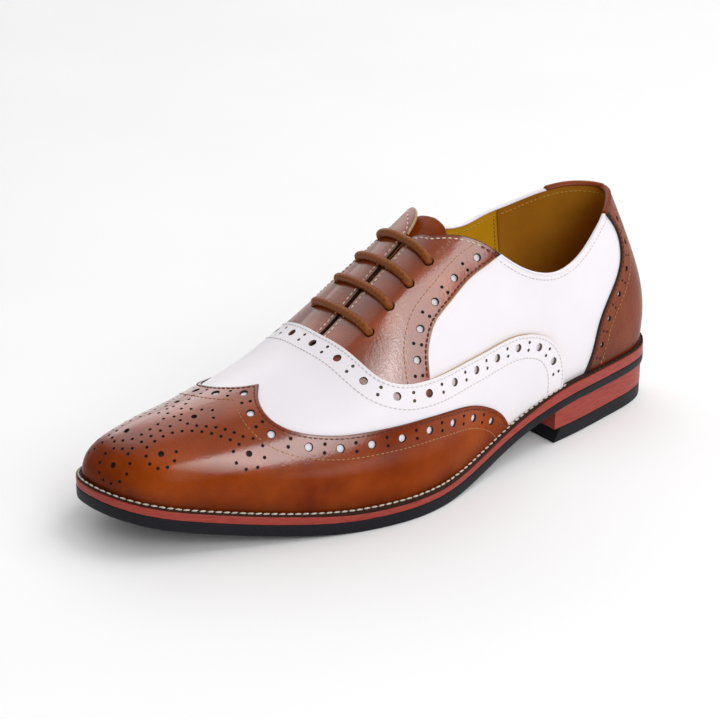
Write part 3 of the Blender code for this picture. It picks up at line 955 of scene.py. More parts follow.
wingOuter, wingInner = softLine(wing["outer"]), softLine(wing["inner"])
wingEdge = np.concatenate([wingOuter, wingInner[1:]])
wingHoles = []
for half in halves(beside(wingEdge, wing["holeInset"]), math.radians(wing["peakTurn"])):
    pitches = np.linspace(wing["firstPitch"], wing["lastPitch"], 14)
    pitches[2] += wing["turnGap"]
    wingHoles += punchRow(half, pitches, wing)
wingHoles = dropNear(clearOfFoot(wingHoles + medallionHoles(), 2.2), wingEdge)
toeEnd = math.pi - 0.012
foot = np.linspace(alongAt(wing["outer"][0][0]), toeEnd, 130)
tip = np.linspace(math.pi - feather, feather, 12)
wingOutline = joined(
    wingEdge,
    levelLine(foot, math.pi - feather),
    upright(toeEnd, tip),
    levelLine(foot[::-1], feather),
)
place(panel("wingCap", wingOutline, wing["cut"], [tanLeather, darkEdgeAndHoleShade], wingHoles), "brown_leather")
print("wing cap cut:", len(wingHoles), "holes")

# Vamp: one white piece whose scalloped rear edge crosses the throat
vamp = {
    "outer": [
        (75.5, -0.6), (75.9, 2.8), (78.5, 8.5), (87, 14.6), (96, 18), (106.5, 21),
        (126.5, 25.2), (146, 29.5), (164, 34.5), (171, 37.3), (178, 41.6), (184.4, 48.6),
        (188.2, 60), (189.7, 74), (190.4, 90),
    ],
    "cut": {"level": -0.2, "thick": 1.5, "cell": 3.0, "soft": 0.5, "lip": 0.2},
    "holeInset": 5.6,
    "bigHole": 1.9,
    "smallHole": 0.8,
    "pairGap": 3.6,
    "pit": 0.7,
    "firstPitch": 17.0,
    "lastPitch": 13.0,
    "underWing": 10.0,  # runs on this far under the wing cap
}
vampEdge = softLine(vamp["outer"] + across(vamp["outer"])[1:])
underWing = beside(wingEdge, vamp["underWing"])
underWing = underWing[(underWing[:, 1] > feather) & (underWing[:, 1] < math.pi - feather)]
vampHoles = []
for half in halves(beside(vampEdge, vamp["holeInset"]), halfTurn):
    vampHoles += punchRow(half, np.linspace(vamp["firstPitch"], vamp["lastPitch"], 12), vamp)
vampHoles = dropNear(clearOfFoot(vampHoles, 2.0))
vampFoot = alongAt(vamp["outer"][0][0])
vampOutline = joined(
    vampEdge[::-1],
    levelLine(np.linspace(vampFoot, underWing[0, 0], 40), feather),
    evenly(underWing, 2.0),
    levelLine(np.linspace(underWing[-1, 0], vampFoot, 40), math.pi - feather),
)
vampFinishes = [whiteLeather, rawEdge, whiteLeather, holeShade]
place(panel("vamp", vampOutline, vamp["cut"], vampFinishes, vampHoles), "white_leather")
print("vamp cut:", len(vampHoles), "holes")

# Facings: brown, from the throat slit back to a curved seam on the quarter
facing = {
    "rear": [
        (164, 27), (163.5, 34.4), (162.7, 37.5), (161, 41.9), (157.5, 45.6), (153.5, 47.8),
        (147.5, 48.4), (138.5, 48.6), (128, 48.6), (119, 47), (110, 45),
    ],
    "underVamp": [(198, 86), (198, 70), (194, 54), (186, 41), (175, 32), (164, 27)],
    "cut": {"level": -0.6, "thick": 1.2, "cell": 2.6, "soft": 0.4, "lip": 0.4, "ringed": True},
    "collarEnd": 137.0,  # x where the collar's edge turns into the slit's
    "throat": 139.0,  # middle of that turn
    "slitTop": 141.0,
    "slitEnd": 188.5,
    "slitHalf": (1.5, 0.8),
    "foldTurn": 60.0,  # the slit's edge is folded above this turn
    "holeInset": 5.6,
    "bigHole": 1.65,
    "smallHole": 0.56,
    "pairGap": 3.6,
    "pit": 0.7,
    "lead": 6.0,
    "bend": (40.0, 67.0, 72.5),  # flat plane's turn, where it bends over to the lacing
    "curve": [(135, 0.9), (165, 0.35)],  # x, share of the last's curve that the stiff plane keeps
    "tuckUnder": (0.9, 2.5),  # sinks this far under the vamp, over this width
    "firstPitch": 13.8,
    "lastPitch": 16.5,
    "ropeFrom": 113.5,  # x where the top edge's stitches start, in rope
    "creamFrom": 120.5,  # and where cream thread takes over
}
laces = [(178.6, 20.0), (166.8, 19.0), (155.6, 18.5), (144.2, 17.5)]  # x and half span of each lace bar
laceHole, laceFloor = 2.15, 1.0

# The inner facing's top corner stands off like an ear
ear = {
    "leaves": 121.0,  # x where the inner facing's edge leaves the collar line
    # x, offset from the ridge
    "rows": [(126, -19.5), (129.3, -15.5), (131, -11.5), (132, -8), (134, -5), (137.5, -3), (142, -1.8)],
    "middle": (131.5, -9.0),
    "reach": (9.0, 9.0),
    "rise": (-0.6, -0.4, 3.0),
}


def slitLine(side):
    x = np.linspace(facing["slitTop"], facing["underVamp"][0][0], 60)
    half = np.interp(x, (facing["slitTop"], facing["slitEnd"]), facing["slitHalf"])
    return planSpot(x, ridgeY(alongAt(x)) + side * half)


def earLift(spots):
    point = skin(spots)
    gaps = (point[..., :2] - np.array(ear["middle"])) / np.array(ear["reach"])
    return np.exp(-np.sum(gaps ** 2, -1))[..., None] * np.array(ear["rise"])


def throatCorner(side):  # rounded corner between the collar's edge and the slit
    slit = slitLine(side)
    if side < 0:
        start = topLine(-facing["rear"][-1][0], -ear["leaves"])
        start = np.stack([np.abs(start[:, 0]), math.pi - start[:, 1]], 1)
        x, offset = column(ear["rows"], 0), column(ear["rows"], 1)
        bridge = np.concatenate([start[-1:], planSpot(x, ridgeY(alongAt(x)) + offset)])
        run = lengths(bridge)
        fine = np.linspace(0, run[-1], 80)
        bridge = np.stack([natural(run, bridge[:, k])(fine) for k in (0, 1)], 1)
        slit = slit[slit[:, 0] > bridge[-1, 0] + 0.004]
    else:
        start = topLine(facing["rear"][-1][0], facing["collarEnd"])
        bridge = np.array([start[-1], (start[-1] + slit[0]) / 2 + np.array([-0.004, 0.0]), slit[0]])
    return np.concatenate([start, evenly(bridge, 1.0)[1:-1], evenly(slit, 1.2)])


def laceHoles(side):
    spots = [planSpot(x, ridgeY(alongAt(x)) + side * half) for x, half in laces]
    return [(spot, laceHole, laceFloor) for spot in spots]


facingRear = softLine(onTop(facing["rear"]))
facingOutline = joined(throatCorner(1), softLine(facing["underVamp"]), facingRear)
facingPitches = np.linspace(facing["firstPitch"], facing["lastPitch"], 8)
facingHoles = punchRow(beside(facingRear, facing["holeInset"]), facingPitches, facing)
facingHoles = dropNear(clearOfCollar(facingHoles, 0.05), facingOutline)
outerHoles = facingHoles + laceHoles(1)
innerRear = softLine(across(onTop(facing["rear"], -1))[::-1])
innerOutline = joined(throatCorner(-1), softLine(across(facing["underVamp"])[::-1]), innerRear)
innerHoles = [(np.array([h[0][0], math.pi - h[0][1]]), h[1], h[2]) for h in facingHoles]
innerHoles = dropNear(laceHoles(-1) + innerHoles, innerOutline)


def facingBend(spots):  # the stiff facing is shaded as if flatter than the last between the lacing and its outer edge
    plane, fromTurn, toTurn = facing["bend"]
    share = np.interp(skin(spots)[:, 0], *np.transpose(facing["curve"]))
    inner = spots[:, 1] > halfTurn
    turn = np.degrees(np.where(inner, math.pi - spots[:, 1], spots[:, 1]))
    over = ramp(turn, fromTurn, toTurn)
    flat = plane + (turn - plane) * share
    bent = np.radians(flat + (turn - flat) * over)
    return np.stack([spots[:, 0], np.where(inner, math.pi - bent, bent)], 1)


def tuckLift(spots):
    deep, wide = facing["tuckUnder"]
    gap = gapsTo(treeOf(skin(vampEdge)), skin(spots))
    under = inside(spots * flatScale, vampOutline * flatScale)
    return -lie(spots)[1] * (deep * under * ramp(gap, 0, wide))[:, None]


def innerLift(spots):
    return earLift(spots) + tuckLift(spots)


def rearEdge(spots):  # raw behind and below, while the collar's edge and the slit's are folded
    x = xAt(spots[:, 0])
    slitFold = math.radians(facing["foldTurn"])
    return spots[:, 1] < np.where(x < facing["throat"], topTurn(x, 1) - 0.04, slitFold)


def earEdge(spots):  # raw round the ear, folded along the slit
    return (xAt(spots[:, 0]) < facing["slitTop"]) | (spots[:, 1] > math.radians(180 - facing["foldTurn"]))


facingShapes = [
    ("outerFacing", facingOutline, tanFacing, outerHoles, tuckLift, rearEdge),
    ("innerFacing", innerOutline, tanInner, innerHoles, innerLift, earEdge),
]
for name, outline, face, holes, raised, raw in facingShapes:
    finishes = [face, rawEdge, face, darkEdgeAndHoleShade]
    place(panel(name, outline, facing["cut"], finishes, holes, raised, facingBend, raw), "brown_leather")
print("facings cut:", len(outerHoles), "and", len(innerHoles), "holes")

# Quarters: one white piece round the back, under facings, vamp and counter
quarter = {
    "front": [(182, -0.6), (182, 20), (178, 46), (168, 58), (150, 65), (134, 74)],
    "cut": {"level": -1.9, "thick": 0.8, "cell": 3.2, "soft": 0.6},
}
quarterFront = softLine(onTop(quarter["front"]))
innerFront = innerWall(softLine(onTop(quarter["front"], -1)))
frontFoot, frontTop = quarter["front"][0][0], quarter["front"][-1][0]
quarterOutline = joined(
    quarterFront, topLine(frontTop, -frontTop), innerFront, footLine(-frontFoot, frontFoot),
)
quarterPiece = panel("quarters", quarterOutline, quarter["cut"], [whiteLeather, whiteLeather])
place(quarterPiece, "white_leather", "upper")

# Heel counter over the back of the quarters
counter = {
    "edge": [
        (59, -0.6), (54.5, 4.4), (50, 11), (41, 17), (30, 23), (21, 30),
        (18, 35), (18, 38.5), (19.3, 41), (22.5, 44),
    ],
    "innerTop": [(19, 38.5), (22, 41), (27.5, 44)],  # the inner edge runs further forward at the collar
    "cut": {"level": -0.7, "thick": 1.1, "cell": 3.0, "soft": 0.5, "lip": 0.5},
    "holeInset": 5.5,
    "bigHole": 1.2,
    "smallHole": 0.45,
    "pairGap": 3.0,
    "pit": 0.3,
    "lead": 4.0,
    "pitch": 13.0,
}
counterEdge = softLine(onTop(counter["edge"]))
counterHoles = punchRow(beside(counterEdge, -counter["holeInset"]), np.full(8, counter["pitch"]), counter)
counterHoles = dropNear(clearOfCollar(clearOfFoot(counterHoles, 2.0), 0.06), counterEdge)
counterHoles += [(h[0] * np.array([-1, 1]), h[1], h[2]) for h in counterHoles]
innerRows = softLine(onTop(counter["edge"][:-3] + counter["innerTop"], -1))
counterFoot = counter["edge"][0][0]
counterTop = topLine(counter["edge"][-1][0], -counter["innerTop"][-1][0])
counterOutline = joined(counterEdge, counterTop, innerWall(innerRows), footLine(-counterFoot, counterFoot))
counterPiece = panel("heelCounter", counterOutline, counter["cut"], [tanCounter, darkEdgeAndHoleShade], counterHoles)
place(counterPiece, "brown_leather")

# Folded rim along the collar: white on the quarters, brown over the counter
rims = {
    "white": {"ends": (112.0, -112.0), "level": -2.5, "across": 1.1, "up": 0.6, "sides": 10},
    "brown": {"ends": (22.8, -28.0), "level": -2.1, "across": 1.65, "up": 1.2, "sides": 12},
}


def foldedRim(name, rim, finish):
    spots = topLine(*rim["ends"])
    point, normal, _ = lie(spots)
    run = np.gradient(point, axis=0)
    run /= np.linalg.norm(run, axis=1, keepdims=True)
    up = np.cross(normal, run)
    far = lengths(spots)
    gap = np.clip(np.minimum(far, far[-1] - far) / rim["across"], 0.05, 1)
    grow = np.sqrt(1 - (1 - gap) ** 2)[:, None, None]  # rounded ends
    angle = np.linspace(0, 2 * math.pi, rim["sides"], endpoint=False)[None, :, None]
    bulge = rim["across"] * np.cos(angle) * normal[:, None] + rim["up"] * np.sin(angle) * up[:, None]
    points = (point + normal * rim["level"])[:, None] + grow * bulge
    count, rows = rim["sides"], len(spots)
    faces = []
    for i in range(rows - 1):
        for j in range(count):
            k = (j + 1) % count
            faces.append((i * count + j, (i + 1) * count + j, (i + 1) * count + k, i * count + k))
    faces.append(tuple(range(count)))
    faces.append(tuple(range((rows - 1) * count, rows * count))[::-1])
    values = {"edgeGap": np.full(rows * count, 9.0), "rise": np.full(rows * count, 80.0)}
    return meshObject(name, toWorld(points.reshape(-1, 3)), faces, [finish], values=values)


place(foldedRim("whiteRim", rims["white"], whiteLeather), "white_leather")
place(foldedRim("brownRim", rims["brown"], tanCounter), "brown_leather")

# Lining: tan round the heel, yellow in front of the seam
lining = {
    "seam": 60.0,
    "back": {"level": -2.5, "thick": 1.2, "cell": 3.5, "soft": 0.5},
    "front": {"level": -2.5, "thick": 0.6, "cell": 3.5, "soft": 0.3},
}
seam = lining["seam"]
outerSeam, innerSeam = [
    upright(alongAt(seam), np.linspace(feather, float(topTurn(seam, side)), 60)) for side in sides
]
liningOutline = joined(outerSeam, topLine(seam, -seam), innerWall(innerSeam), footLine(-seam, seam))
place(panel("heelLining", liningOutline, lining["back"], [liningTan, liningTan]), "lining_leather")


def throatEdge(side):
    start = topLine(side * seam, side * facing["collarEnd"])
    if side < 0:
        start = np.stack([np.abs(start[:, 0]), math.pi - start[:, 1]], 1)
    x = np.linspace(facing["slitTop"], facing["slitEnd"] + 6, 40)
    slit = planSpot(x, ridgeY(alongAt(x)) + side * 2.5)
    return np.concatenate([start, slit])


seamFoot = np.linspace(alongAt(seam), toeEnd, 120)
frontOutline = joined(
    outerSeam,
    throatEdge(1),
    throatEdge(-1)[::-1],
    overRidge(innerSeam),
    levelLine(seamFoot, math.pi - feather),
    upright(toeEnd, tip),
    levelLine(seamFoot[::-1], feather),
)
place(panel("frontLining", frontOutline, lining["front"], [liningYellow, liningYellow]), "lining_leather")
print("quarters, counter and linings cut")

# Tongue under the facings
tongue = {
    # x, half width
    "rows": [(128.8, 0.5), (129.4, 9.0), (130.4, 13.0), (133, 17.0), (140, 19.0), (170, 20.0), (203, 18.0)],
    "cut": {"level": -3.0, "thick": 2.0, "cell": 3.0, "soft": 0.8},
}
tongueX = np.concatenate([np.linspace(tongue["rows"][0][0], 133, 14), np.linspace(134, 203, 50)])
tongueHalf = np.interp(tongueX, *np.transpose(tongue["rows"]))
tongueSide = {side: planSpot(tongueX, ridgeY(alongAt(tongueX)) + side * tongueHalf) for side in sides}
tongueOutline = joined(evenly(tongueSide[1], 1.5), evenly(tongueSide[-1], 1.5)[::-1])
tonguePiece = panel("tongueFlap", tongueOutline, tongue["cut"], [tanTongue, rawEdge, liningYellow])
place(tonguePiece, "brown_leather", "tongue")
print("tongue cut")

# Sole layers: rings of the outline at a few heights, with eased edges


def slab(name, low, high, margin, profile, finish, front=None):
    # profile: inset, share from low to high, extra height
    rings = []
    for inset, share, extra in profile:
        def drawnIn(x, by=inset):
            return margin(x) + by

        edge = insetEdge(1, drawnIn)
        start, end = edge[0, 0], edge[-1, 0]
        x = xAt(np.linspace(0, math.pi, sole["stations"]), start, end)
        if front is not None:
            x = np.append(x[x < front - 1], front - inset)
        z = low(x) * (1 - share) + high(x) * share + extra
        outer, inner = [np.stack([x, edgeHalf(side, drawnIn, start, end)(x), z], 1) for side in sides]
        rings.append(np.concatenate([outer, inner[::-1]]))
    count = len(rings[0])
    faces = []
    for base in range(0, (len(rings) - 1) * count, count):
        for i in range(count):
            j = (i + 1) % count
            faces.append((base + j, base + i, base + count + i, base + count + j))
    last = (len(rings) - 1) * count
    for i in range(count // 2 - 1):  # underside and top
        j = count - 1 - i
        faces.append((i, i + 1, j - 1, j))
        faces.append((last + j, last + j - 1, last + i + 1, last + i))
    made = meshObject(name, toWorld(np.concatenate(rings)), faces, [finish])
    shape = bmesh.new()
    shape.from_mesh(made.data)
    bmesh.ops.remove_doubles(shape, verts=shape.verts, dist=1e-6)
    bmesh.ops.recalc_face_normals(shape, faces=shape.faces)
    if shape.calc_volume(signed=True) < 0:
        bmesh.ops.reverse_faces(shape, faces=shape.faces)
    shape.to_mesh(made.data)
    shape.free()
    made.data.set_sharp_from_angle(angle=math.radians(38))
    return made


def eased(bottom, top):  # edge profile with rounded lower and upper arrises
    arris = [(1.6, 0.0), (0.5, 0.25), (0.1, 0.75), (0.0, 1.3)]  # inset and height, in parts of the rounding
    lower = [(bottom * inset, 0, bottom * high) for inset, high in arris]
    return lower + [(top * inset, 1, -top * high) for inset, high in arris[::-1]]


def fixedMargin(value):
    return lambda x: value + 0 * x


sole = {
    "heelRubber": 4.2,
    "frontRubber": 5.6,
    "thicken": (70, 160),  # the rubber gets thicker between these x
    "weltLow": 9.4,
    "welt": 0.9,
    "waistWelt": 0.9,
    "waist": (75, 105, 195, 240),  # the welt is deeper here, where the red board gets thin
    "lift": 6.9,
    "insole": 2.5,
    "insoleInset": 2.4,
    "gap": 0.1,  # between the heel block and its neighbours
    "stations": 150,
}


def rubberTop(x):
    more = sole["frontRubber"] - sole["heelRubber"]
    return soleHeight(x) + sole["heelRubber"] + ramp(x, *sole["thicken"]) * more


def weltFoot(x):
    return soleHeight(x) + sole["weltLow"] - sole["waistWelt"] * window(x, *sole["waist"])


def weltTop(x):
    return soleHeight(x) + sole["weltLow"] + sole["welt"]


def liftTop(x):
    return sole["lift"] + 0 * x


def footBed(x):
    return soleHeight(x) + shoe["footLow"]


rubber = slab("rubberSole", soleHeight, rubberTop, fixedMargin(0.0), eased(0.7, 0.25), blackRubber)
place(rubber, "black_rubber", "outsole")
board = slab("redBoard", rubberTop, weltFoot, fixedMargin(0.1), eased(0.3, 0.5), redEdge)
place(board, "red_sole_leather", "midsole")
welt = slab("weltStrip", weltFoot, weltTop, fixedMargin(0.25), eased(0.1, 0.3), weltBrown)
place(welt, "welt_leather", "welt")
block = slab(
    "heelBlock", lambda x: liftTop(x) + sole["gap"], lambda x: soleHeight(x) - sole["gap"],
    fixedMargin(0.9), eased(0.25, 0.25), redEdge, shoe["breast"],
)
place(block, "red_sole_leather", "heel_block")
lift = slab(
    "heelLift", fixedMargin(0.0), liftTop, fixedMargin(1.0), eased(0.6, 0.25), blackRubber, shoe["breast"],
)
place(lift, "black_rubber", "heel_lift")
sock = slab(
    "insoleBoard", footBed, lambda x: footBed(x) + sole["insole"],
    lambda x: weltMargin(x) + sole["insoleInset"], eased(0.3, 0.8), liningTan,
)
place(sock, "lining_leather", "insole")
print("sole layers made")

# Stitches: one Geometry Nodes tree lays a short thread at even steps along lines on the leather


def dye(tree, shape, finish, end):  # smooth, with its material, to the group's output
    smooth = add(tree, "GeometryNodeSetShadeSmooth", {"Geometry": shape}).outputs[0]
    dyed = add(tree, "GeometryNodeSetMaterial", {"Geometry": smooth, "Material": finish})
    tree.links.new(dyed.outputs[0], end.inputs["Geometry"])


def stitchTree():
    inputs = [
        ("Geometry", "NodeSocketGeometry", None), ("Pitch", "NodeSocketFloat", 0.003),
        ("Length", "NodeSocketFloat", 0.002), ("Width", "NodeSocketFloat", 0.0006),
        ("Sway", "NodeSocketFloat", 0.06), ("Seed", "NodeSocketInt", 1),
        ("Thread", "NodeSocketMaterial", None),
    ]
    outputs = [("Geometry", "NodeSocketGeometry")]
    tree, start, end = newGroup("stitchRow", "GeometryNodeTree", inputs, outputs)
    given = start.outputs
    curve = add(tree, "GeometryNodeMeshToCurve", {"Mesh": given["Geometry"]}).outputs[0]
    spaced = {"Curve": curve, "Length": given["Pitch"]}
    points = add(tree, "GeometryNodeCurveToPoints", spaced, mode="LENGTH")
    up = add(tree, "GeometryNodeInputNamedAttribute", {"Name": "up"}, data_type="FLOAT_VECTOR")
    stood = add(tree, "FunctionNodeAlignRotationToVector", {"Vector": up.outputs["Attribute"]}, axis="Z")
    ahead = {"Rotation": stood.outputs[0], "Vector": points.outputs["Tangent"]}
    headed = add(tree, "FunctionNodeAlignRotationToVector", ahead, axis="X", pivot_axis="Z")
    less = calc(tree, "MULTIPLY", given["Sway"], -1.0)
    spread = {2: less, 3: given["Sway"], "Seed": given["Seed"]}
    chance = add(tree, "FunctionNodeRandomValue", spread, data_type="FLOAT")
    twist = add(tree, "ShaderNodeCombineXYZ", {"Z": chance.outputs[1]})
    euler = add(tree, "FunctionNodeEulerToRotation", {"Euler": twist.outputs[0]})
    sway = {"Rotation": headed.outputs[0], "Rotate By": euler.outputs[0]}
    turned = add(tree, "FunctionNodeRotateRotation", sway, rotation_space="LOCAL")
    ball = add(tree, "GeometryNodeMeshUVSphere", {"Segments": 6, "Rings": 5, "Radius": 0.5})
    girth = {"X": given["Length"], "Y": given["Width"], "Z": given["Width"]}
    size = add(tree, "ShaderNodeCombineXYZ", girth)
    thread = add(tree, "GeometryNodeTransform", {"Geometry": ball.outputs[0], "Scale": size.outputs[0]})
    laid = add(tree, "GeometryNodeInstanceOnPoints", {
        "Points": points.outputs["Points"], "Instance": thread.outputs[0], "Rotation": turned.outputs[0],
    })
    real = add(tree, "GeometryNodeRealizeInstances", {"Geometry": laid.outputs[0]})
    dye(tree, real.outputs[0], given["Thread"], end)
    return tree


def lineMesh(name, lines):  # lines: world points and the way up at each
    points = np.concatenate([p for p, _ in lines])
    ups = np.concatenate([u for _, u in lines])
    edges, first = [], 0
    for p, _ in lines:
        edges += [(first + i, first + i + 1) for i in range(len(p) - 1)]
        first += len(p)
    mesh = bpy.data.meshes.new(name)
    mesh.from_pydata([tuple(p) for p in points], edges, [])
    attribute = mesh.attributes.new("up", "FLOAT_VECTOR", "POINT")
    attribute.data.foreach_set("vector", np.asarray(ups, np.float32).ravel())
    made = bpy.data.objects.new(name, mesh)
    bpy.context.scene.collection.objects.link(made)
    return made


def setInput(modifier, title, value):
    for item in modifier.node_group.interface.items_tree:
        if item.item_type == "SOCKET" and item.in_out == "INPUT" and item.name == title:
            modifier[item.identifier] = value


def bake(piece, finish):  # the evaluated nodes become a plain mesh
    name, source = piece.name, piece.data
    mesh = bpy.data.meshes.new_from_object(piece.evaluated_get(bpy.context.evaluated_depsgraph_get()))
    bpy.data.objects.remove(piece)
    bpy.data.meshes.remove(source)
    mesh.name = name
    mesh.materials.clear()
    mesh.materials.append(finish)
    made = bpy.data.objects.new(name, mesh)
    bpy.context.scene.collection.objects.link(made)
    return made


stitchRow = stitchTree()
threadLift = 0.05  # a thread's middle lies this far over the leather


def sew(name, lines, thread, settings, seed):
    piece = lineMesh(name, lines)
    modifier = piece.modifiers.new("stitches", "NODES")
    modifier.node_group = stitchRow
    for title in ("Pitch", "Length", "Width"):
        setInput(modifier, title, settings[title.lower()] * mm)
    setInput(modifier, "Sway", settings["sway"])
    setInput(modifier, "Seed", seed)
    setInput(modifier, "Thread", thread)
    return place(bake(piece, thread), "lace_cord")


def onLeather(spots, level, lift=noLift):
    spots = evenly(belowCollar(spots), 0.8)
    points, up = sit(spots, np.full(len(spots), level + threadLift), lift)
    return toWorld(points), up


def aboveFoot(spots, least=0.02):
    return spots[(spots[:, 1] > least) & (spots[:, 1] < math.pi - least)]


def belowCollar(spots, gap=1.5):  # leaves out what would run over the collar's edge
    x = xAt(np.abs(spots[:, 0]))
    inner = (spots[:, 0] < 0) != (spots[:, 1] > halfTurn)
    turn = np.where(spots[:, 1] > halfTurn, math.pi - spots[:, 1], spots[:, 1])
    limit = np.where(inner, topTurn(x, -1), topTurn(x, 1))
    return spots[(x > facing["throat"]) | (turn < limit - gap / flatScale[1])]


def mirrorWall(spots):
    return np.stack([-spots[:, 0], spots[:, 1]], 1)


seams = {"pitch": 2.3, "length": 2.15, "width": 0.62, "sway": 0.06}
ropeSeams = {"pitch": 2.5, "length": 2.2, "width": 1.05, "sway": 0.12}
creamSeams = {"pitch": 2.6, "length": 2.1, "width": 0.72, "sway": 0.05}
fineSeams = {"pitch": 2.2, "length": 1.8, "width": 0.48, "sway": 0.05}

# How far the rows lie from the edges they follow; two where a row of holes runs between them
stitchGaps = {
    "facing": (1.6, 11.5), "wing": (1.5, 10.0), "counter": (1.5, 9.5), "vamp": (1.6, 11.0),
    "throat": 2.0, "insideSeam": 2.2,
}
collarRows = {"outside": (108, 2.6), "inside": (114, 3.4)}  # x where both ends stop, gap below the edge
wingLevel, vampLevel, facingLevel = wing["cut"]["level"], vamp["cut"]["level"], facing["cut"]["level"]
quarterLevel, counterLevel = quarter["cut"]["level"], counter["cut"]["level"]

ropeRow, facingStitch = [beside(facingRear, gap) for gap in stitchGaps["facing"]]
ropeRow = ropeRow[ropeRow[:, 1] > math.radians(36)]  # from the vamp's edge up
ropeLines = [onLeather(ropeRow, facingLevel), onLeather(overRidge(ropeRow), facingLevel, earLift)]
creamLines = []
for side in sides:  # along the throat in cream, and in rope further back
    inset = beside(throatCorner(side), stitchGaps["throat"] * side)
    raised = noLift if side > 0 else earLift
    x = xAt(inset[:, 0])
    ropeEnd, creamEnd = facing["creamFrom"] - 1, facing["slitEnd"] + 2.5
    creamLines.append(onLeather(inset[(x > facing["creamFrom"]) & (x < creamEnd)], facingLevel, raised))
    ropeLines.append(onLeather(inset[(x > facing["ropeFrom"]) & (x < ropeEnd)], facingLevel, raised))
sew("ropeStitches", ropeLines, ropeThread, ropeSeams, 7)
sew("creamStitches", creamLines, creamThread, creamSeams, 4)


def collarRow(end, gap):
    return beside(topLine(end, -end), -gap)


def counterRows(gap):  # on the outer and the inner wall
    outer, inner = [aboveFoot(beside(line, -gap)) for line in (counterEdge, innerRows)]
    return [onLeather(outer, counterLevel), onLeather(mirrorWall(inner), counterLevel)]


brownWing, tanWing = [onLeather(aboveFoot(beside(wingEdge, gap)), wingLevel) for gap in stitchGaps["wing"]]
brownCounter, tanCounterRows = [counterRows(gap) for gap in stitchGaps["counter"]]
sew("brownStitches", [brownWing] + brownCounter, brownThread, seams, 1)
tanLines = [
    tanWing,
    onLeather(facingStitch, facingLevel),
    onLeather(overRidge(facingStitch), facingLevel, earLift),
]
sew("tanStitches", tanLines + tanCounterRows, tanThread, fineSeams, 2)
paleLines = [onLeather(aboveFoot(beside(vampEdge, gap)), vampLevel) for gap in stitchGaps["vamp"]]
paleLines.append(onLeather(collarRow(*collarRows["outside"]), quarterLevel))
sew("paleStitches", paleLines, paleThread, fineSeams, 3)


# Inside the collar: a row below the rim and one beside the lining's seam
def onLining(spots):
    behind = xAt(np.abs(spots[:, 0])) < seam
    cuts = lining["back"], lining["front"]
    level = np.where(behind, *[cut["level"] - cut["thick"] - threadLift for cut in cuts])
    points, normal = sit(spots, level)
    return toWorld(points), -normal


def seamRow(side):
    x = seam + stitchGaps["insideSeam"]
    turn = np.linspace(0.3, float(topTurn(x, side)) - 0.06, 60)
    return upright(side * alongAt(x), turn)


sew("liningStitches", [onLining(seamRow(side)) for side in sides], liningThread, fineSeams, 6)
sew("collarStitches", [onLining(collarRow(*collarRows["inside"]))], collarThread, fineSeams, 9)

# Welt stitch: heavier thread on the welt's rim, cream from the waist round the toe, brown round the heel
weltStitch = {
    "pitch": 3.4, "length": 3.4, "width": 1.05, "sway": 0.12,
    "inset": 1.2, "heelInset": 0.7, "fromX": 74.0,
}


def weltLine(inset, front):  # on the rim, in front of or behind the place where the thread changes
    rim = [insetEdge(side, fixedMargin(inset)) for side in sides]
    rim = np.concatenate([rim[0], rim[1][::-1][1:]] if front else [rim[1][::-1], rim[0][1:]])
    rim = rim[(rim[:, 0] > weltStitch["fromX"]) == front]
    height = weltTop(rim[:, 0]) + threadLift
    return toWorld(np.concatenate([rim, height[:, None]], 1)), np.tile([0.0, 0.0, 1.0], (len(rim), 1))


sew("weltStitches", [weltLine(weltStitch["inset"], True)], weltThread, weltStitch, 5)
sew("heelStitches", [weltLine(weltStitch["heelInset"], False)], weltBrown, weltStitch, 8)
print("stitches laid")

# Lace: one cord over the four bars and hidden runs under the facings
lace = {
    "radius": 1.95,
    "over": 1.35,  # level of the bars over the last
    "under": -3.0,  # and of the hidden runs
    "hiddenGirth": 0.35,
    # where the cord comes up: how far in from its hole, level, girth
    "climb": [(0.0, -2.1, 0.55), (0.1, -1.0, 0.95), (1.3, 0.85, 1.0)],
    "shares": (0.8, 0.55, 0.25, 0.0, -0.25, -0.55, -0.8),  # of the half span, along a bar
    "slack": 0.75,  # share of the smooth curve, against straight runs
    "sides": 14,
    "braid": 0.0026,
    "strands": 3.0,
    # Dark and light: the dark one is painted shade in the braid's grooves, and a noise also mixes the two
    # at random
    "tones": ((0.1, 0.024, 0.003, 1), (0.28, 0.078, 0.009, 1)),
}


def laceRoute():
    points, girths = [], []

    def put(x, offset, level, girth):
        spot = planSpot(np.array([x]), ridgeY(alongAt(x)) + offset)
        raised = earLift if offset < 0 else noLift
        points.append(sit(spot, np.array([level]), raised)[0][0])
        girths.append(girth)

    side = 1
    put(laces[3][0] - 3, laces[3][1], lace["under"], lace["hiddenGirth"])
    for x, half in laces[::-1]:
        for inset, level, girth in lace["climb"]:
            put(x, side * (half - inset), level, girth)
        for share in lace["shares"]:
            put(x, side * half * share, lace["over"], 1.0)
        side = -side
        for inset, level, girth in lace["climb"][::-1]:
            put(x, side * (half - inset), level, girth)
        put(x + 5, side * half, lace["under"], lace["hiddenGirth"])
    points.pop()
    girths.pop()
    for x, half in laces[1:]:  # the free end runs back up under the outer facing
        put(x, side * (half - 4), lace["under"], lace["hiddenGirth"])
    points, girths = np.array(points), np.array(girths)
    run = np.append(0.0, np.cumsum(np.linalg.norm(np.diff(points, axis=0), axis=1)))
    fine = np.arange(0, run[-1], 0.7)
    straight = np.stack([np.interp(fine, run, points[:, k]) for k in range(3)], 1)
    curve = np.stack([natural(run, points[:, k])(fine) for k in range(3)], 1)
    mixed = lace["slack"] * curve + (1 - lace["slack"]) * straight
    return toWorld(mixed), np.interp(fine, run, girths)


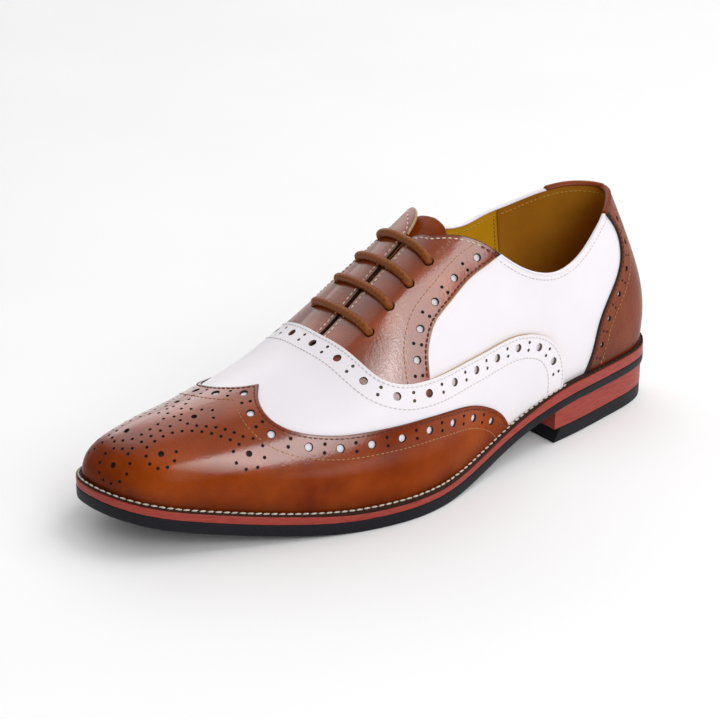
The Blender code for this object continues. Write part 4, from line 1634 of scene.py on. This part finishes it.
def laceTree():
    inputs = [
        ("Geometry", "NodeSocketGeometry", None), ("Radius", "NodeSocketFloat", 0.0016),
        ("Sides", "NodeSocketInt", 14), ("Cord", "NodeSocketMaterial", None),
    ]
    outputs = [("Geometry", "NodeSocketGeometry")]
    tree, start, end = newGroup("laceCord", "GeometryNodeTree", inputs, outputs)
    given = start.outputs

    def store(shape, name, value, kind):
        inputs = {"Geometry": shape, "Name": name}
        node = add(tree, "GeometryNodeStoreNamedAttribute", inputs, data_type=kind, domain="POINT")
        tree.links.new(value, node.inputs["Value"])
        return node.outputs[0]

    curve = add(tree, "GeometryNodeMeshToCurve", {"Mesh": given["Geometry"]}).outputs[0]
    girth = add(tree, "GeometryNodeInputNamedAttribute", {"Name": "girth"}, data_type="FLOAT")
    reach = calc(tree, "MULTIPLY", girth.outputs["Attribute"], given["Radius"])
    sized = add(tree, "GeometryNodeSetCurveRadius", {"Curve": curve, "Radius": reach}).outputs[0]
    run = add(tree, "GeometryNodeSplineParameter").outputs["Length"]
    marked = store(sized, "cordRun", run, "FLOAT")
    circle = add(tree, "GeometryNodeCurvePrimitiveCircle", {"Resolution": given["Sides"], "Radius": 1.0})
    position = add(tree, "GeometryNodeInputPosition").outputs[0]
    around = store(circle.outputs[0], "cordSide", position, "FLOAT_VECTOR")
    radius = add(tree, "GeometryNodeInputRadius").outputs[0]
    section = {"Curve": marked, "Profile Curve": around, "Scale": radius, "Fill Caps": True}
    tube = add(tree, "GeometryNodeCurveToMesh", section).outputs[0]
    dye(tree, tube, given["Cord"], end)
    return tree


def cordMaterial():  # waxed braid: two crossing sets of strands round the cord
    made, tree, shader = newMaterial("waxedCord")
    across = pointValue(tree, "cordSide", "Vector")
    sideWay = add(tree, "ShaderNodeSeparateXYZ", {"Vector": across}).outputs
    turn = calc(tree, "ARCTAN2", sideWay["Y"], sideWay["X"])
    ahead = calc(tree, "MULTIPLY", pointValue(tree, "cordRun"), 2 * math.pi / lace["braid"])
    strands = []
    for count in (lace["strands"], -lace["strands"]):
        strands.append(calc(tree, "SINE", calc(tree, "ADD", ahead, calc(tree, "MULTIPLY", turn, count))))
    braid = calc(tree, "MAXIMUM", *strands)
    fuzz = noiseAt(tree, objectPlace(tree), 1500.0, 4.0)
    height = calc(tree, "ADD", mapTo(tree, braid, -0.6, 1.0), calc(tree, "MULTIPLY", fuzz, 0.5))
    # Painted shade: the grooves between the strands take the darker tone
    grooveShade = mapTo(tree, braid, -0.4, 0.9, 0.55, 1.0)
    share = calc(tree, "MULTIPLY", grooveShade, mapTo(tree, fuzz, 0.25, 0.75, 0.6, 1.0))
    tree.links.new(mixColour(tree, share, *lace["tones"]), shader.inputs["Base Color"])
    tree.links.new(mapTo(tree, fuzz, 0.3, 0.7, 0.45, 0.62), shader.inputs["Roughness"])
    relief = {"Height": height, "Strength": 0.25, "Distance": 0.0003}
    tree.links.new(add(tree, "ShaderNodeBump", relief).outputs[0], shader.inputs["Normal"])
    setShader(shader, {"Specular IOR Level": 0.15, "Coat Weight": 0.2, "Coat Roughness": 0.3})
    return made


waxedCord = cordMaterial()
route, girths = laceRoute()
laceLine = lineMesh("lace", [(route, np.zeros_like(route))])
girthValue = laceLine.data.attributes.new("girth", "FLOAT", "POINT")
girthValue.data.foreach_set("value", girths.astype(np.float32))
modifier = laceLine.modifiers.new("cord", "NODES")
modifier.node_group = laceTree()
setInput(modifier, "Radius", lace["radius"] * mm)
setInput(modifier, "Sides", lace["sides"])
setInput(modifier, "Cord", waxedCord)
place(bake(laceLine, waxedCord), "lace_cord", "lace_bar_1", "lace_bar_2", "lace_bar_3", "lace_bar_4")
print("lace run")

# Floor, light and camera
stage = {
    "floor": 12.0,  # half width, far past the edges of the picture
    "glowFrom": (-0.3, -0.85, 0.43),  # the surroundings are bright behind and overhead, dim in front
    "glowEdge": (0.45, 0.95),
    "glow": (0.22, 1.05),
    # name, place, aim, size and watts of each soft box
    "lamps": [
        ("side", (0.58, 2.04, 1.27), (0.1, 0.03, 0.03), (1.24, 1.33), 19.0),
        ("high", (-0.44, 1.83, 1.6), (-0.03, 0.02, 0.09), (1.38, 1.45), 13.0),
        ("fill", (-1.18, 0.33, 2.08), (0.0, 0.0, 0.05), (1.6, 1.6), 24.0),
        ("back", (-0.9, -2.1, 1.2), (-0.35, -0.8, 0.0), (2.4, 1.1), 8.0),
    ],
    "stand": (665.17, 662.9, 403.7),  # the camera, in the last's millimetres
    "ahead": (-0.5527, -0.7364, -0.3902),
    "lens": 101.16,
    "sensor": 36.0,
}


def facingAlong(way):
    return Vector(way).to_track_quat("-Z", "Y").to_euler()


def layFloor():
    far = stage["floor"]
    corners = [(-far, -far, 0), (far, -far, 0), (far, far, 0), (-far, far, 0)]
    paper = plain("paleFloor", (0.98, 0.98, 0.98, 1), (0.96, 0.96, 0.96, 1), 0.8, 6.0, 0.0)
    floor = meshObject("floor", corners, [(0, 1, 2, 3)], [paper])


def glowAround():
    world = bpy.data.worlds.new("studio")
    bpy.context.scene.world = world
    world.use_nodes = True
    tree = world.node_tree
    way = add(tree, "ShaderNodeTexCoord").outputs["Generated"]
    toBack = add(tree, "ShaderNodeVectorMath", {0: way, 1: stage["glowFrom"]}, operation="DOT_PRODUCT")
    glow = mapTo(tree, toBack.outputs["Value"], *stage["glowEdge"], *stage["glow"])
    glow.node.interpolation_type = "SMOOTHSTEP"
    tree.links.new(glow, tree.nodes["Background"].inputs["Strength"])
    tree.nodes["Background"].inputs["Color"].default_value = (1.0, 0.99, 1.0, 1)


def hangLamps():
    for name, spot, aim, size, power in stage["lamps"]:
        light = bpy.data.lights.new(name, "AREA")
        light.shape = "RECTANGLE"
        light.size, light.size_y = size
        light.energy = power
        lamp = bpy.data.objects.new(name, light)
        lamp.location = spot
        lamp.rotation_euler = facingAlong(Vector(aim) - Vector(spot))
        bpy.context.scene.collection.objects.link(lamp)


def takePhoto():
    camera = bpy.data.cameras.new("camera")
    camera.sensor_width = stage["sensor"]
    camera.lens = stage["lens"]
    body = bpy.data.objects.new("camera", camera)
    body.location = toWorld(stage["stand"])
    body.rotation_euler = facingAlong(stage["ahead"])
    bpy.context.scene.collection.objects.link(body)
    bpy.context.scene.camera = body


bpy.context.scene.view_settings.view_transform = "Standard"
layFloor()
glowAround()
hangLamps()
takePhoto()
print("studio lit")
bpy.context.view_layer.update()
